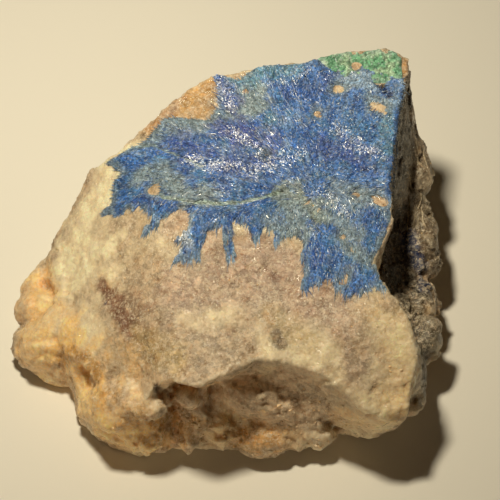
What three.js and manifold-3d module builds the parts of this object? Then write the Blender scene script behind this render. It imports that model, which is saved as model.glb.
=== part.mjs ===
// Linarite on quartz: a broken block of milky, iron-stained vein quartz. Its tilted upper fracture face
// carries a thin crust of bladed linarite, with a patch of green malachite at the high corner.
// Millimetres, +Z up. The block rests on its flat underside; -Y is its front, with the open hollow.

import * as THREE from "three";
import { mergeVertices } from "three/addons/utils/BufferGeometryUtils.js";
import Module from "manifold-3d";

const wasm = await Module();
wasm.setup();

// ---- Driving dimensions ----------------------------------------------------------------------------

const FACE_HEIGHT = 26; // height of the upper fracture face at the middle
const FACE_SLOPE = 0.21; // its rise towards the back, per mm
const DROOP_FROM_X = -2; // left of this the face bends down
const DROOP = 0.024; // how fast, per mm squared
// Where else it bends down towards the front: it starts at one x and is full at another.
const BENDS = [
  { name: "front right corner", fromY: -9, rate: 0.03, startX: 6, fullX: 16 },
  { name: "lower left corner", fromY: -8.5, rate: 0.06, startX: -9.5, fullX: -15.5 },
];
const FACE_SWELL = { height: 0.8, size: 9 }; // its long waves
const FACE_GRAIN = { height: 0.35, size: 2.3 }; // its small unevenness
const FACET = 2; // width of its facets
const FACET_SHIFT = 0.6; // how far their corners stray from an even grid
const WALL_GRAIN = { height: 0.7, size: 3 }; // how far the walls' facets stand in and out, and their width
const LUMP_GRAIN = { share: 0.16, waves: 1.9 }; // unevenness of a lump, as a share of its size
const FACE_SPAN = [-40, -32, 38, 40]; // least and greatest x and y that the face is made over
const AXIS = new THREE.Vector2(0, 4); // the block's upright axis
const ABOVE = 45; // a height clear above the block
const BELOW = -2; // a depth clear below its underside

const CRUST_GAP = 0.3; // between a crust and the face that it grew on
const LINARITE_THICKNESS = 0.5;
const BLADE_RELIEF = 0.22; // how far the linarite's blades stand up and down
const BLADE_FANS = 26; // ridges in a full turn about the fan's centre
const FAN_CENTRE = new THREE.Vector2(14, 9); // where the blades radiate from
const MALACHITE_THICKNESS = 0.7;
const MALACHITE_KNOBS = { height: 0.25, size: 1.2 };

// Clockwise from the high back right corner: the rim of the upper face, and how far the wall stands
// out from that rim at its waist, belly, hem and foot. A negative number is an undercut.
const WALL_LEVELS = { waist: 0.6, belly: 0.38, hem: 0.12, foot: 0 };
// The rounding between the rim and the waist, as shares of the waist's stand-out.
const LIP = { level: 0.93, share: 0.12, lowerShare: 0.7 };
const SAG = 0.4; // how far the wall swells out between belly and hem
const SAMPLES = 3; // points on the wall from one station to the next
const STATIONS = [
  { rim: [29, 33], out: [0, -0.5, -3, -6] },
  { rim: [28.2, 28], out: [3.2, 4, 2.6, -0.5] },
  { rim: [27, 23], out: [5.2, 6.4, 5, 1.5] },
  { rim: [25.6, 15], out: [3.6, 7.4, 6.2, 2.5] },
  { rim: [25, 9.5], out: [-1.6, 6.4, 6.6, 3] },
  { rim: [25.6, 4.5], out: [-2.6, 5.8, 6.2, 3] },
  { rim: [22.4, -1.5], out: [0.6, 9, 8.8, 4.5] },
  { rim: [23.6, -5.5], out: [5, 9, 7.6, 3] },
  { rim: [27, -10], out: [2.8, 4.6, 3.4, -1] },
  { rim: [28.5, -15.2], out: [1.2, 2.2, 0.6, -3.5] },
  { rim: [27.8, -18.8], out: [-0.4, -1.8, -4.4, -7.6] },
  { rim: [26.6, -21.4], out: [0.6, -1.2, -4.6, -7.8] },
  { rim: [22.6, -21.8], out: [1.8, -0.2, -3.6, -6] },
  { rim: [19.4, -20.8], out: [1.6, -0.8, -3.6, -5.8] },
  { rim: [15.6, -18.8], out: [1.8, 0.6, -0.8, -3.4] },
  { rim: [12.5, -17.4], out: [1.4, 3.6, 3, -2] },
  { rim: [8.6, -17], out: [0.4, 3.4, 4.8, 0] },
  { rim: [4.6, -17.2], out: [-1.4, 2.4, 5, 0] },
  { rim: [0.8, -19.4], out: [-4, -0.8, 2.4, -2] },
  { rim: [-4, -21.1], out: [-5.2, -2.4, 1, -3] },
  { rim: [-8.4, -20.3], out: [-5, -2.4, 1.6, -3] },
  { rim: [-12.6, -19.4], out: [2.6, 3.4, 3.6, 2.4] },
  { rim: [-16.2, -17], out: [2.8, 3.8, 4, 3.6] },
  { rim: [-20, -13.4], out: [2.4, 3.4, 3.8, 3.6] },
  { rim: [-22.2, -9.6], out: [2, 2.6, 3, 3] },
  { rim: [-28.6, -5.4], out: [0, -0.5, -2.5, -5.5] },
  { rim: [-31, -1.6], out: [0, -0.2, -2.2, -5] },
  { rim: [-31.4, 5.1], out: [0, -0.2, -2.2, -5] },
  { rim: [-30, 11.4], out: [0, 0, -2, -5] },
  { rim: [-27.2, 17.2], out: [0.2, 0, -2, -4.8] },
  { rim: [-23.2, 19.6], out: [0, 0, -1.8, -5] },
  { rim: [-17.9, 19.9], out: [0, 0.4, -1, -4.4] },
  { rim: [-13.4, 22.3], out: [0, 0.6, -0.6, -4] },
  { rim: [-7.4, 26.7], out: [0.4, 1, -0.6, -4] },
  { rim: [-2.5, 29.8], out: [0.6, 1, -0.8, -4] },
  { rim: [4, 31], out: [0.6, 0.8, -1, -4.4] },
  { rim: [12, 31.8], out: [0.4, 0.4, -1.4, -4.8] },
  { rim: [19, 34], out: [0, -0.4, -2.4, -5.6] },
  { rim: [25.4, 34.6], out: [-0.4, -1.2, -3.6, -7] },
];

// Rounded lumps grown on the block: centre, half sizes, and turn about Z in degrees.
const LUMPS = [
  { name: "upper left lobe", at: [-27.2, 8.1, 5.4], size: [8.9, 6.6, 5.6], turn: 10, detail: 3 },
  { name: "lower left lobe", at: [-25.8, -2.7, 2.8], size: [9.2, 6.2, 8.2], turn: 4, detail: 3 },
  { name: "swelling between them", at: [-28.8, 2.6, 5.4], size: [5.8, 5, 5], turn: 0, detail: 2 },
  { name: "lower left corner", at: [-16.6, -14.8, 5], size: [6, 6.2, 8.2], turn: 0, detail: 2 },
  { name: "swelling left of the slab", at: [-15.6, -17.4, 9.8], size: [5.2, 4.9, 4.6], turn: 20, detail: 3 },
  { name: "slab over the hollow", at: [-12.4, -17.7, 13.3], size: [4.6, 4.8, 2.2], turn: 25, detail: 2 },
  { name: "nub beside the cleft", at: [-6, -18, 13], size: [1.8, 1.7, 2.2], turn: 10, detail: 1 },
  { name: "dome in the hollow", at: [5.2, -16.6, 10.5], size: [6.6, 3.6, 5], turn: -5, detail: 2 },
  { name: "orange lump", at: [5.6, -20.4, 4.2], size: [4.6, 3, 3.6], turn: 0, detail: 2 },
  { name: "front edge lump", at: [11, -20, 3.8], size: [2.4, 2.2, 2.6], turn: 30, detail: 1 },
  { name: "front edge lump", at: [14.6, -19.4, 4.2], size: [2.6, 2.4, 2.8], turn: 60, detail: 1 },
  { name: "front edge lump", at: [18.6, -16.9, 3.4], size: [2.4, 2, 2.4], turn: 15, detail: 1 },
  { name: "right shoulder", at: [31, 12.4, 10], size: [3.5, 6.4, 4.6], turn: 4, detail: 2 },
  { name: "right shelf", at: [30.4, 1.5, 8], size: [3.4, 5.4, 4], turn: -6, detail: 2 },
  { name: "right shelf's front", at: [31, -5.5, 8.6], size: [2.8, 3.6, 4.6], turn: 10, detail: 1 },
  { name: "right druse bed", at: [29.6, 25, 14.6], size: [3.6, 6.6, 5.8], turn: 12, detail: 2 },
  { name: "front corner nodule", at: [28, -17.8, 9.3], size: [1.7, 1.5, 1.6], turn: 0, detail: 1 },
];

// Hollows broken out of the block, given in the same way.
const SCOOPS = [
  { name: "upright cleft in the hollow", at: [-7.4, -20.8, 8.6], size: [1.3, 2, 6.2], turn: -6, detail: 1 },
  { name: "hollow under the slab", at: [-12.4, -23.6, 10], size: [3, 1.7, 2], turn: 20, detail: 2 },
  { name: "crescent notch", at: [-23.8, -14, 10.8], size: [3.8, 3.4, 3.3], turn: -24, detail: 2 },
  { name: "pit in the blue crust", at: [25, 27, 32.6], size: [1.5, 1.4, 2.2], turn: 0, detail: 1 },
  { name: "dish in the back", at: [-4, 36.6, 15], size: [14, 7.6, 12], turn: 16, detail: 2 },
  { name: "dish in the back", at: [20, 38.6, 13], size: [12, 6.4, 10], turn: -8, detail: 2 },
  { name: "dish in the back left", at: [-29, 26.6, 6], size: [9, 7, 8], turn: 50, detail: 2 },
  { name: "pit near the ledge", at: [7.5, -14, 23.6], size: [1.3, 1, 1.3], turn: 0, detail: 1 },
];

// Six-sided quartz crystals: foot, tip and half width.
const CRYSTALS = [
  { foot: [-10, -16, 13], tip: [-16.6, -21.8, 4.6], radius: 2.4 },
  { foot: [-10.6, -16, 14], tip: [-12.4, -23.2, 3], radius: 2.2 },
  { foot: [-5.6, -15, 12], tip: [-6, -22.6, 2.6], radius: 1.9 },
  { foot: [-4, -16, 14], tip: [-3.6, -21.2, 6], radius: 1.1 },
  { foot: [-2, -15, 11], tip: [-0.6, -22.4, 3.4], radius: 2.1 },
  { foot: [28, 26.5, 19], tip: [32.4, 24, 13], radius: 1.2 },
  { foot: [28, 24, 18.5], tip: [33, 20.6, 12.5], radius: 1.1 },
  { foot: [27.6, 21.5, 18], tip: [32.2, 18, 12], radius: 1 },
  { foot: [28, 19.5, 17], tip: [33.2, 17.4, 11], radius: 1.1 },
  { foot: [27.4, 18, 17], tip: [30.8, 14.6, 12], radius: 0.9 },
];
const CRYSTAL_TIP = 1.1; // length of the pointed end, in half widths

// Planes along which the block broke: a point on each, and the way it faces.
const BREAKS = [
  { at: [-18, 21.3, 14], facing: [-0.66, 0.72, -0.2] },
  { at: [-4, 30, 12], facing: [-0.3, 0.9, -0.32] },
  { at: [12, 32.6, 10], facing: [0.1, 0.95, -0.3] },
  { at: [26, 32, 9], facing: [0.45, 0.8, -0.4] },
  { at: [30, 24, 4.5], facing: [0.7, 0.2, -0.68] },
  { at: [29, 0, 3], facing: [0.68, -0.1, -0.73] },
  { at: [-25.4, 12, 0.2], facing: [-0.7, 0.3, -0.65] },
  { at: [-29, -4, -0.4], facing: [-0.5, -0.12, -0.86] },
  { at: [-8, 25, 4], facing: [-0.35, 0.55, -0.76] },
  { at: [14, 29, 3.4], facing: [0.1, 0.66, -0.74] },
  { at: [24, -19.5, 3.6], facing: [0.3, -0.55, -0.78] },
];

// The linarite crust's outline on the upper face, clockwise from its left tip. The comb of points
// along its lower edge is the ends of the blade fans.
const LINARITE_OUTLINE = [
  [-18.5, 18.8], [-16, 16.3], [-17.5, 15.2], [-17.5, 12.2], [-19, 11], [-17, 9], [-14.5, 8.9],
  [-12.5, 9.1], [-11.5, 7.3], [-13, 4.2], [-10.5, 5.6], [-7, 6.9], [-5.5, 6.2], [-7.5, 2.5], [-7.5, -1],
  [-4.5, -0.9], [-3, 2.5], [-1.5, 4], [-0.5, 4], [0.5, -2], [1, 1], [0.5, 5.5], [3, 4], [4.5, 1],
  [6, 4], [7, 3.5], [6.5, 0], [9.5, 3], [12, 1], [12, -3.5], [11, -5], [12.5, -6], [15.5, -4],
  [17, -6.5], [20.5, -6.5], [22, -5.5], [23.3, -5.8], [22.2, -3.6], [21.6, -1.5], [23, 1.5],
  [24.6, 4.5], [24.2, 10], [24.8, 15], [26.2, 23], [26.8, 27.3], [25.6, 28], [21, 29.7], [16.3, 29],
  [13.6, 31], [5.5, 30], [-0.5, 29], [-2.2, 28.3], [-1, 25.5], [-1.3, 23.6], [-3.5, 22.2], [-9, 23],
  [-12, 21],
];

// The malachite patch's outline at the high corner.
const MALACHITE_OUTLINE = [
  [14.4, 31.6], [16.5, 29.6], [21.2, 30.2], [26, 28.5], [27.3, 30], [27.4, 32.4], [26.6, 33.4],
  [24, 33.6], [19.5, 33.3],
];

// Bare quartz showing through the linarite: centre, half sizes and turn in degrees.
const WINDOWS = [
  { at: [-11, 10], size: [1.1, 1], turn: 0 },
  { at: [2.5, 26.5], size: [0.7, 0.6], turn: 0 },
  { at: [14, 22.5], size: [0.7, 0.6], turn: 40 },
  { at: [17.5, 27], size: [1.2, 0.9], turn: 30 },
  { at: [24.2, 23], size: [1.9, 1.1], turn: -35 },
  { at: [19.5, 10], size: [0.7, 0.6], turn: 0 },
  { at: [23.4, 8], size: [1.5, 1], turn: 0 },
  { at: [25, 27], size: [1.3, 1.2], turn: 0 },
];

// ---- Shape functions -------------------------------------------------------------------------------

// A repeatable number from -1 to 1 for each whole-numbered place.
function scatter(i, j, k) {
  const mixed = Math.sin(i * 127.1 + j * 311.7 + k * 74.7) * 43758.5453;
  return 2 * (mixed - Math.floor(mixed)) - 1;
}

// The same numbers, blended smoothly between the places.
function roughness(x, y, z) {
  const [i, j, k] = [x, y, z].map(Math.floor);
  const ease = (t) => t * t * (3 - 2 * t);
  const [u, v, w] = [ease(x - i), ease(y - j), ease(z - k)];
  let total = 0;
  for (const di of [0, 1])
    for (const dj of [0, 1])
      for (const dk of [0, 1]) {
        const share = (di ? u : 1 - u) * (dj ? v : 1 - v) * (dk ? w : 1 - w);
        total += share * scatter(i + di, j + dj, k + dk);
      }
  return total;
}

// Height of the upper fracture face.
function faceHeight(x, y) {
  const droop = x < DROOP_FROM_X ? DROOP * (x - DROOP_FROM_X) ** 2 : 0;
  const bends = BENDS.map(({ fromY, rate, startX, fullX }) => {
    const share = THREE.MathUtils.smoothstep((x - startX) / (fullX - startX), 0, 1);
    return share * rate * Math.max(0, fromY - y) ** 2;
  });
  const swell = FACE_SWELL.height * roughness(x / FACE_SWELL.size, y / FACE_SWELL.size, 5);
  const grain = FACE_GRAIN.height * roughness(x / FACE_GRAIN.size, y / FACE_GRAIN.size, 0);
  return FACE_HEIGHT + FACE_SLOPE * y - droop - bends[0] - bends[1] + swell + grain;
}

// Height of the linarite's blades at a place on the face: ridges that radiate from the fan's centre.
function bladeHeight(x, y) {
  const fromCentre = new THREE.Vector2(x, y).sub(FAN_CENTRE);
  const ridge = Math.sin(fromCentre.angle() * BLADE_FANS + fromCentre.length() / 3);
  return BLADE_RELIEF * ridge;
}

// ---- Solids ----------------------------------------------------------------------------------------

function solidFrom(geometry) {
  const bare = geometry.clone();
  bare.deleteAttribute("normal");
  bare.deleteAttribute("uv");
  const merged = mergeVertices(bare, 1e-4);
  const corners = merged.index.array;
  const triangles = [];
  for (let i = 0; i < corners.length; i += 3) {
    const [a, b, c] = corners.slice(i, i + 3);
    if (a !== b && b !== c && c !== a) triangles.push(a, b, c);
  }
  return new wasm.Manifold(
    new wasm.Mesh({
      numProp: 3,
      vertProperties: merged.attributes.position.array,
      triVerts: new Uint32Array(triangles),
    }),
  );
}

function meshFrom(name, solid, material) {
  const { numProp, vertProperties, triVerts } = solid.getMesh();
  const positions = [];
  for (let i = 0; i < vertProperties.length; i += numProp)
    positions.push(...vertProperties.subarray(i, i + 3));
  const geometry = new THREE.BufferGeometry();
  geometry.setAttribute("position", new THREE.Float32BufferAttribute(positions, 3));
  geometry.setIndex(new THREE.BufferAttribute(triVerts, 1));
  geometry.computeVertexNormals();
  const mesh = new THREE.Mesh(geometry, material);
  mesh.name = name;
  return mesh;
}

function geometryFrom(triangles) {
  const positions = triangles.flatMap((p) => [p.x, p.y, p.z]);
  const geometry = new THREE.BufferGeometry();
  return geometry.setAttribute("position", new THREE.Float32BufferAttribute(positions, 3));
}

// A closed slab between two height functions. Its facets fall on one grid, shared by every slab.
function slab([minX, minY, maxX, maxY], bottom, top) {
  const steps = (from, to) => {
    const first = Math.floor(from / FACET);
    return Array.from({ length: Math.ceil(to / FACET) - first + 1 }, (_, i) => (first + i) * FACET);
  };
  const [xs, ys] = [steps(minX, maxX), steps(minY, maxY)];
  const place = (x, y, height) => {
    const [i, j] = [Math.round(x / FACET), Math.round(y / FACET)];
    const [u, v] = [x + FACET_SHIFT * scatter(i, j, 1), y + FACET_SHIFT * scatter(i, j, 2)];
    return new THREE.Vector3(u, v, height(u, v));
  };
  const layer = (height) => xs.map((x) => ys.map((y) => place(x, y, height)));
  const [low, high] = [layer(bottom), layer(top)];
  const triangles = [];
  for (let i = 0; i + 1 < xs.length; i++)
    for (let j = 0; j + 1 < ys.length; j++) {
      triangles.push(high[i][j], high[i + 1][j], high[i + 1][j + 1]);
      triangles.push(high[i][j], high[i + 1][j + 1], high[i][j + 1]);
      triangles.push(low[i][j], low[i + 1][j + 1], low[i + 1][j]);
      triangles.push(low[i][j], low[i][j + 1], low[i + 1][j + 1]);
    }
  const side = (a, b, c, d) => triangles.push(a, b, c, a, c, d);
  const [lastX, lastY] = [xs.length - 1, ys.length - 1];
  for (let i = 0; i < lastX; i++) {
    side(low[i][0], low[i + 1][0], high[i + 1][0], high[i][0]);
    side(low[i + 1][lastY], low[i][lastY], high[i][lastY], high[i + 1][lastY]);
  }
  for (let j = 0; j < lastY; j++) {
    side(low[0][j + 1], low[0][j], high[0][j], high[0][j + 1]);
    side(low[lastX][j], low[lastX][j + 1], high[lastX][j + 1], high[lastX][j]);
  }
  return solidFrom(geometryFrom(triangles));
}

// One closed ring of the wall, at a share of the rim's height and a stand-out from the rim.
function wallRing(level, standOut) {
  const corners = STATIONS.map(({ rim: [x, y], out }) => {
    const spoke = new THREE.Vector2(x, y).sub(AXIS);
    const at = spoke.setLength(spoke.length() + standOut(out)).add(AXIS);
    return new THREE.Vector3(at.x, at.y, level * (FACE_HEIGHT + FACE_SLOPE * y));
  });
  return corners.flatMap((corner, i) => {
    const next = corners[(i + 1) % corners.length];
    return Array.from({ length: SAMPLES }, (_, s) => corner.clone().lerp(next, s / SAMPLES));
  });
}

// Moves a wall point in or out along its spoke by the wall's grain.
function roughen(point) {
  const spoke = new THREE.Vector2(point.x, point.y).sub(AXIS);
  const { x, y, z } = point.clone().divideScalar(WALL_GRAIN.size);
  spoke.setLength(spoke.length() + WALL_GRAIN.height * roughness(x, y, z)).add(AXIS);
  const rise = (WALL_GRAIN.height / 2) * roughness(z, x, y);
  return new THREE.Vector3(spoke.x, spoke.y, point.z + rise);
}

function wallSolid() {
  const { waist, belly, hem, foot } = WALL_LEVELS;
  const rim = wallRing(1, () => 0);
  const rings = [
    rim.map((p) => new THREE.Vector3(p.x, p.y, ABOVE)),
    rim,
    wallRing(LIP.level, (out) => LIP.share * out[0]),
    wallRing((LIP.level + waist) / 2, (out) => LIP.lowerShare * out[0]).map(roughen),
    wallRing(waist, (out) => out[0]).map(roughen),
    wallRing(belly, (out) => out[1]).map(roughen),
    wallRing((belly + hem) / 2, (out) => (out[1] + out[2]) / 2 + SAG).map(roughen),
    wallRing(hem, (out) => out[2]).map(roughen),
    wallRing(foot, (out) => out[3]),
    wallRing(foot, (out) => out[3]).map((p) => new THREE.Vector3(p.x, p.y, BELOW)),
  ];
  const top = new THREE.Vector3(AXIS.x, AXIS.y, ABOVE);
  const bottom = new THREE.Vector3(AXIS.x, AXIS.y, BELOW);
  const count = rim.length;
  const triangles = [];
  for (let i = 0; i < count; i++) {
    const j = (i + 1) % count;
    triangles.push(top, rings[0][j], rings[0][i]);
    for (let r = 0; r + 1 < rings.length; r++) {
      triangles.push(rings[r][i], rings[r][j], rings[r + 1][j]);
      triangles.push(rings[r][i], rings[r + 1][j], rings[r + 1][i]);
    }
    triangles.push(bottom, rings.at(-1)[i], rings.at(-1)[j]);
  }
  return solidFrom(geometryFrom(triangles));
}

// A rounded, faceted lump.
function lump({ at, size, turn, detail }) {
  const geometry = new THREE.IcosahedronGeometry(1, detail);
  const position = geometry.attributes.position;
  const { share, waves } = LUMP_GRAIN;
  for (let i = 0; i < position.count; i++) {
    const p = new THREE.Vector3().fromBufferAttribute(position, i);
    p.multiplyScalar(1 + share * roughness(p.x * waves + at[0], p.y * waves + at[1], p.z * waves));
    position.setXYZ(i, p.x, p.y, p.z);
  }
  geometry.scale(...size);
  geometry.rotateZ(THREE.MathUtils.degToRad(turn));
  geometry.translate(...at);
  return solidFrom(geometry);
}

// Turns a geometry's +Z towards a direction.
function aim(geometry, direction) {
  const turn = new THREE.Quaternion().setFromUnitVectors(new THREE.Vector3(0, 0, 1), direction);
  return geometry.applyQuaternion(turn);
}

function crystal({ foot, tip, radius }) {
  const along = new THREE.Vector3(...tip).sub(new THREE.Vector3(...foot));
  const length = along.length();
  const shoulder = length - CRYSTAL_TIP * radius;
  const profile = [[0, 0], [radius, 0], [radius, shoulder], [0, length]];
  const geometry = new THREE.LatheGeometry(profile.map(([r, z]) => new THREE.Vector2(r, z)), 6);
  geometry.rotateX(Math.PI / 2);
  aim(geometry, along.normalize()).translate(...foot);
  return solidFrom(geometry);
}

// Everything beyond a plane.
function beyond({ at, facing }) {
  const reach = 3 * ABOVE;
  const geometry = new THREE.BoxGeometry(reach, reach, reach).translate(0, 0, reach / 2);
  aim(geometry, new THREE.Vector3(...facing).normalize()).translate(...at);
  return solidFrom(geometry);
}

// An upright prism over an outline.
function prism(outline) {
  const shape = new THREE.Shape(outline.map(([x, y]) => new THREE.Vector2(x, y)));
  return solidFrom(new THREE.ExtrudeGeometry(shape, { depth: ABOVE, bevelEnabled: false }));
}

// An uneven six-sided opening through a crust.
function windowPrism({ at: [x, y], size: [a, b], turn }) {
  const sides = 6;
  const corners = Array.from({ length: sides }, (_, i) => {
    const angle = (i * 2 * Math.PI) / sides;
    const uneven = 1 + 0.2 * scatter(i, x, y);
    return new THREE.Vector2(a * uneven * Math.cos(angle), b * uneven * Math.sin(angle));
  });
  const centre = new THREE.Vector2();
  const angle = THREE.MathUtils.degToRad(turn);
  return prism(corners.map((c) => c.rotateAround(centre, angle)).map((c) => [x + c.x, y + c.y]));
}

// A crust on the upper face, inside an outline.
function crust(outline, thickness) {
  const [xs, ys] = [outline.map((p) => p[0]), outline.map((p) => p[1])];
  const around = [Math.min(...xs), Math.min(...ys), Math.max(...xs), Math.max(...ys)];
  const underside = (x, y) => faceHeight(x, y) + CRUST_GAP;
  return slab(around, underside, (x, y) => underside(x, y) + thickness(x, y)).intersect(prism(outline));
}

// ---- The specimen ----------------------------------------------------------------------------------

function quartzMatrix() {
  const underFace = slab(FACE_SPAN, () => 2 * BELOW, faceHeight);
  let solid = wallSolid().intersect(underFace);
  for (const each of LUMPS) solid = solid.add(lump(each));
  for (const each of SCOOPS) solid = solid.subtract(lump(each));
  for (const each of CRYSTALS) solid = solid.add(crystal(each));
  for (const each of BREAKS) solid = solid.subtract(beyond(each));
  return solid.subtract(beyond({ at: [0, 0, 0], facing: [0, 0, -1] }));
}

function linariteCrust() {
  const solid = crust(LINARITE_OUTLINE, (x, y) => LINARITE_THICKNESS + bladeHeight(x, y));
  return WINDOWS.reduce((left, each) => left.subtract(windowPrism(each)), solid);
}

function malachiteCrust() {
  const { height, size } = MALACHITE_KNOBS;
  const knobbly = (x, y) => MALACHITE_THICKNESS + height * roughness(x / size, y / size, 3);
  return crust(MALACHITE_OUTLINE, knobbly);
}

const quartz = new THREE.MeshStandardMaterial({ color: 0xc8ad84, roughness: 0.55, metalness: 0 });
const linarite = new THREE.MeshStandardMaterial({ color: 0x2b4a94, roughness: 0.3, metalness: 0 });
const malachite = new THREE.MeshStandardMaterial({ color: 0x5fa874, roughness: 0.6, metalness: 0 });

const specimen = new THREE.Group();
specimen.name = "linarite_on_quartz";
specimen.add(meshFrom("quartz_matrix", quartzMatrix(), quartz));
specimen.add(meshFrom("linarite_crust", linariteCrust(), linarite));
specimen.add(meshFrom("malachite_crust", malachiteCrust(), malachite));

// The origin is at the middle of the underside.
const bounds = new THREE.Box3().setFromObject(specimen);
const middle = bounds.getCenter(new THREE.Vector3());
specimen.position.set(-middle.x, -middle.y, -bounds.min.z);

export default specimen;
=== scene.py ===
import itertools
import math

import bmesh
import bpy
import numpy as np
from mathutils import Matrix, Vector
from mathutils.bvhtree import BVHTree


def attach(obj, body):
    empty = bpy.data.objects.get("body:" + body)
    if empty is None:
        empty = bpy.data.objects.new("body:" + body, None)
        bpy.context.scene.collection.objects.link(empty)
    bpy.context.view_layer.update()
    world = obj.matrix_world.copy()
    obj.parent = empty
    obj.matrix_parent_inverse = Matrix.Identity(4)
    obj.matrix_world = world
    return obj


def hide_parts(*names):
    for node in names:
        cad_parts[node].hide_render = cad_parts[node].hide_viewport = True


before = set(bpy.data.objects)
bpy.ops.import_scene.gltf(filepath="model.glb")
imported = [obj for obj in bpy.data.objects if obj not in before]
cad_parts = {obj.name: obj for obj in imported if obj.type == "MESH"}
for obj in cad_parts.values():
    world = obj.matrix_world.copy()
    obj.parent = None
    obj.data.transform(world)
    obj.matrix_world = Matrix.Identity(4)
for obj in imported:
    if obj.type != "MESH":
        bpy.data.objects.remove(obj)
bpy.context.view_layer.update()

# Places and lengths in the tables and functions below are millimetres, in the frame's own axes.
MM = 0.001

# The camera looks down at the tilted upper face from in front.
CAMERA_TARGET = (3.875, -5.546, 26.0)
CAMERA_DISTANCE = 260.0
CAMERA_ELEVATION = math.radians(55.0)
CAMERA_LENS = 123.55
CAMERA_SENSOR = 36.0

# The lamps: name, the direction that it shines from, distance, width, irradiance and colour. The key light is
# warm and high up, and the front one is weak, broad and low, as off a wall.
LAMPS = [
    ("key", (-0.18, 0.095, 1.0), 190.0, 26.0, 3.9, (1.0, 0.89, 0.66)),
    ("front", (-0.6, -1.0, 0.10), 420.0, 200.0, 0.44, (1.0, 0.74, 0.46)),
]
LIT_PLACE = (-60.0, 120.0, 0.0)     # both are aimed at the floor behind the specimen, which lights that too
FILL_COLOUR = (1.0, 0.60, 0.32)     # light from everywhere
FILL_STRENGTH = 0.009
FLOOR_COLOUR = (0.89, 0.865, 0.80)
FLOOR_HALF = 1500.0
FLOOR_DROP = 0.02       # the floor lies this far under the block, so that the two don't share a plane

VOXEL = 0.38            # size of the quartz's mesh
WELD = 0.001            # vertices of the CAD solid that are this close are one
REST_BAND = 1.6         # relief fades out towards the plane that the block rests on
QUARTZ_IOR = 1.54

# How far a grain is stretched along each of its own axes, and how much of its size it is sunk in the block.
GRAIN_STRETCH = ((0.9, 1.6), (0.7, 1.0), (0.5, 0.9))
GRAIN_SUNK = 0.24
GRAIN_BAND = (0.9, 1.8)     # grains begin between these heights
THREAD_STEP = 0.35      # a thread has a place about this often along its path
THREAD_SUNK = 0.15

# The grids in plan that the two crusts are meshed on, as (lowest corner, highest corner, step).
LINARITE_GRID = ((-21.0, -13.0), (28.0, 28.5), 0.25)
MALACHITE_GRID = ((11.5, 22.5), (28.0, 30.6), 0.16)
LINARITE_IOR = 1.81
MALACHITE_IOR = 1.65
LOOK_FROM = 60.0        # the height that the surface under a crust is looked for from
SURFACE_LOW = 16.0      # no crust lies lower than this
CRUST_DIP = 0.28        # a crust's rim dips this far under the quartz
CRUST_STEP_UP = 1.1     # no face of a crust spans a bigger step than this
CRUST_SUNK = 0.5        # a crust's underside lies this far under the quartz

BLADE_COUNT = 34000     # blades in each of the two layers
BLADE_LENGTHS = (0.3, 3.2)
BLADE_WIDTHS = (0.06, 0.5)
# A blade's corners, as parts of its length, of its width to the side and of its rise, and its four faces.
BLADE_CORNERS = ((0.0, 0.5, 0.0), (0.0, -0.5, 0.0), (0.12, 0.0, 1.0), (1.0, 0.0, 0.0))
BLADE_FACES = ((1, 3, 2), (3, 0, 2), (0, 1, 2), (0, 3, 1))
# A blade that would run out over an edge with a bigger drop than this is cut to the length beside it.
EDGE_DROP, EDGE_LENGTH = 0.8, 0.2
# Blades that glint: their share of a bright row, greatest length, least width, and how proud they stand.
LIT_SHARE, LIT_LENGTH, LIT_WIDTH, LIT_PROUD = 0.3, 0.34, 0.24, 0.10

# The tilted upper face: height at y = 0, slope to the back, and how it bends down left of an x.
UPPER_HEIGHT, UPPER_SLOPE, UPPER_BEND, UPPER_BEND_FROM = 27.1, 0.21, 0.024, -1.6

# Where the linarite's blades spread from, and the pale vein that they part along.
FAN_CENTRE = (14.3, 3.5)
VEIN = [(-10.8, 5.0), (-9.2, 3.3), (-5.3, 2.1), (-1.5, 1.7), (2.4, 2.1), (5.7, 3.0), (8.9, 4.5)]
SECOND_VEIN = [(-15.3, 13.8), (-13.9, 13.7), (-11.0, 13.1), (-8.6, 11.2), (-6.2, 9.6), (-3.1, 7.6)]

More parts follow.
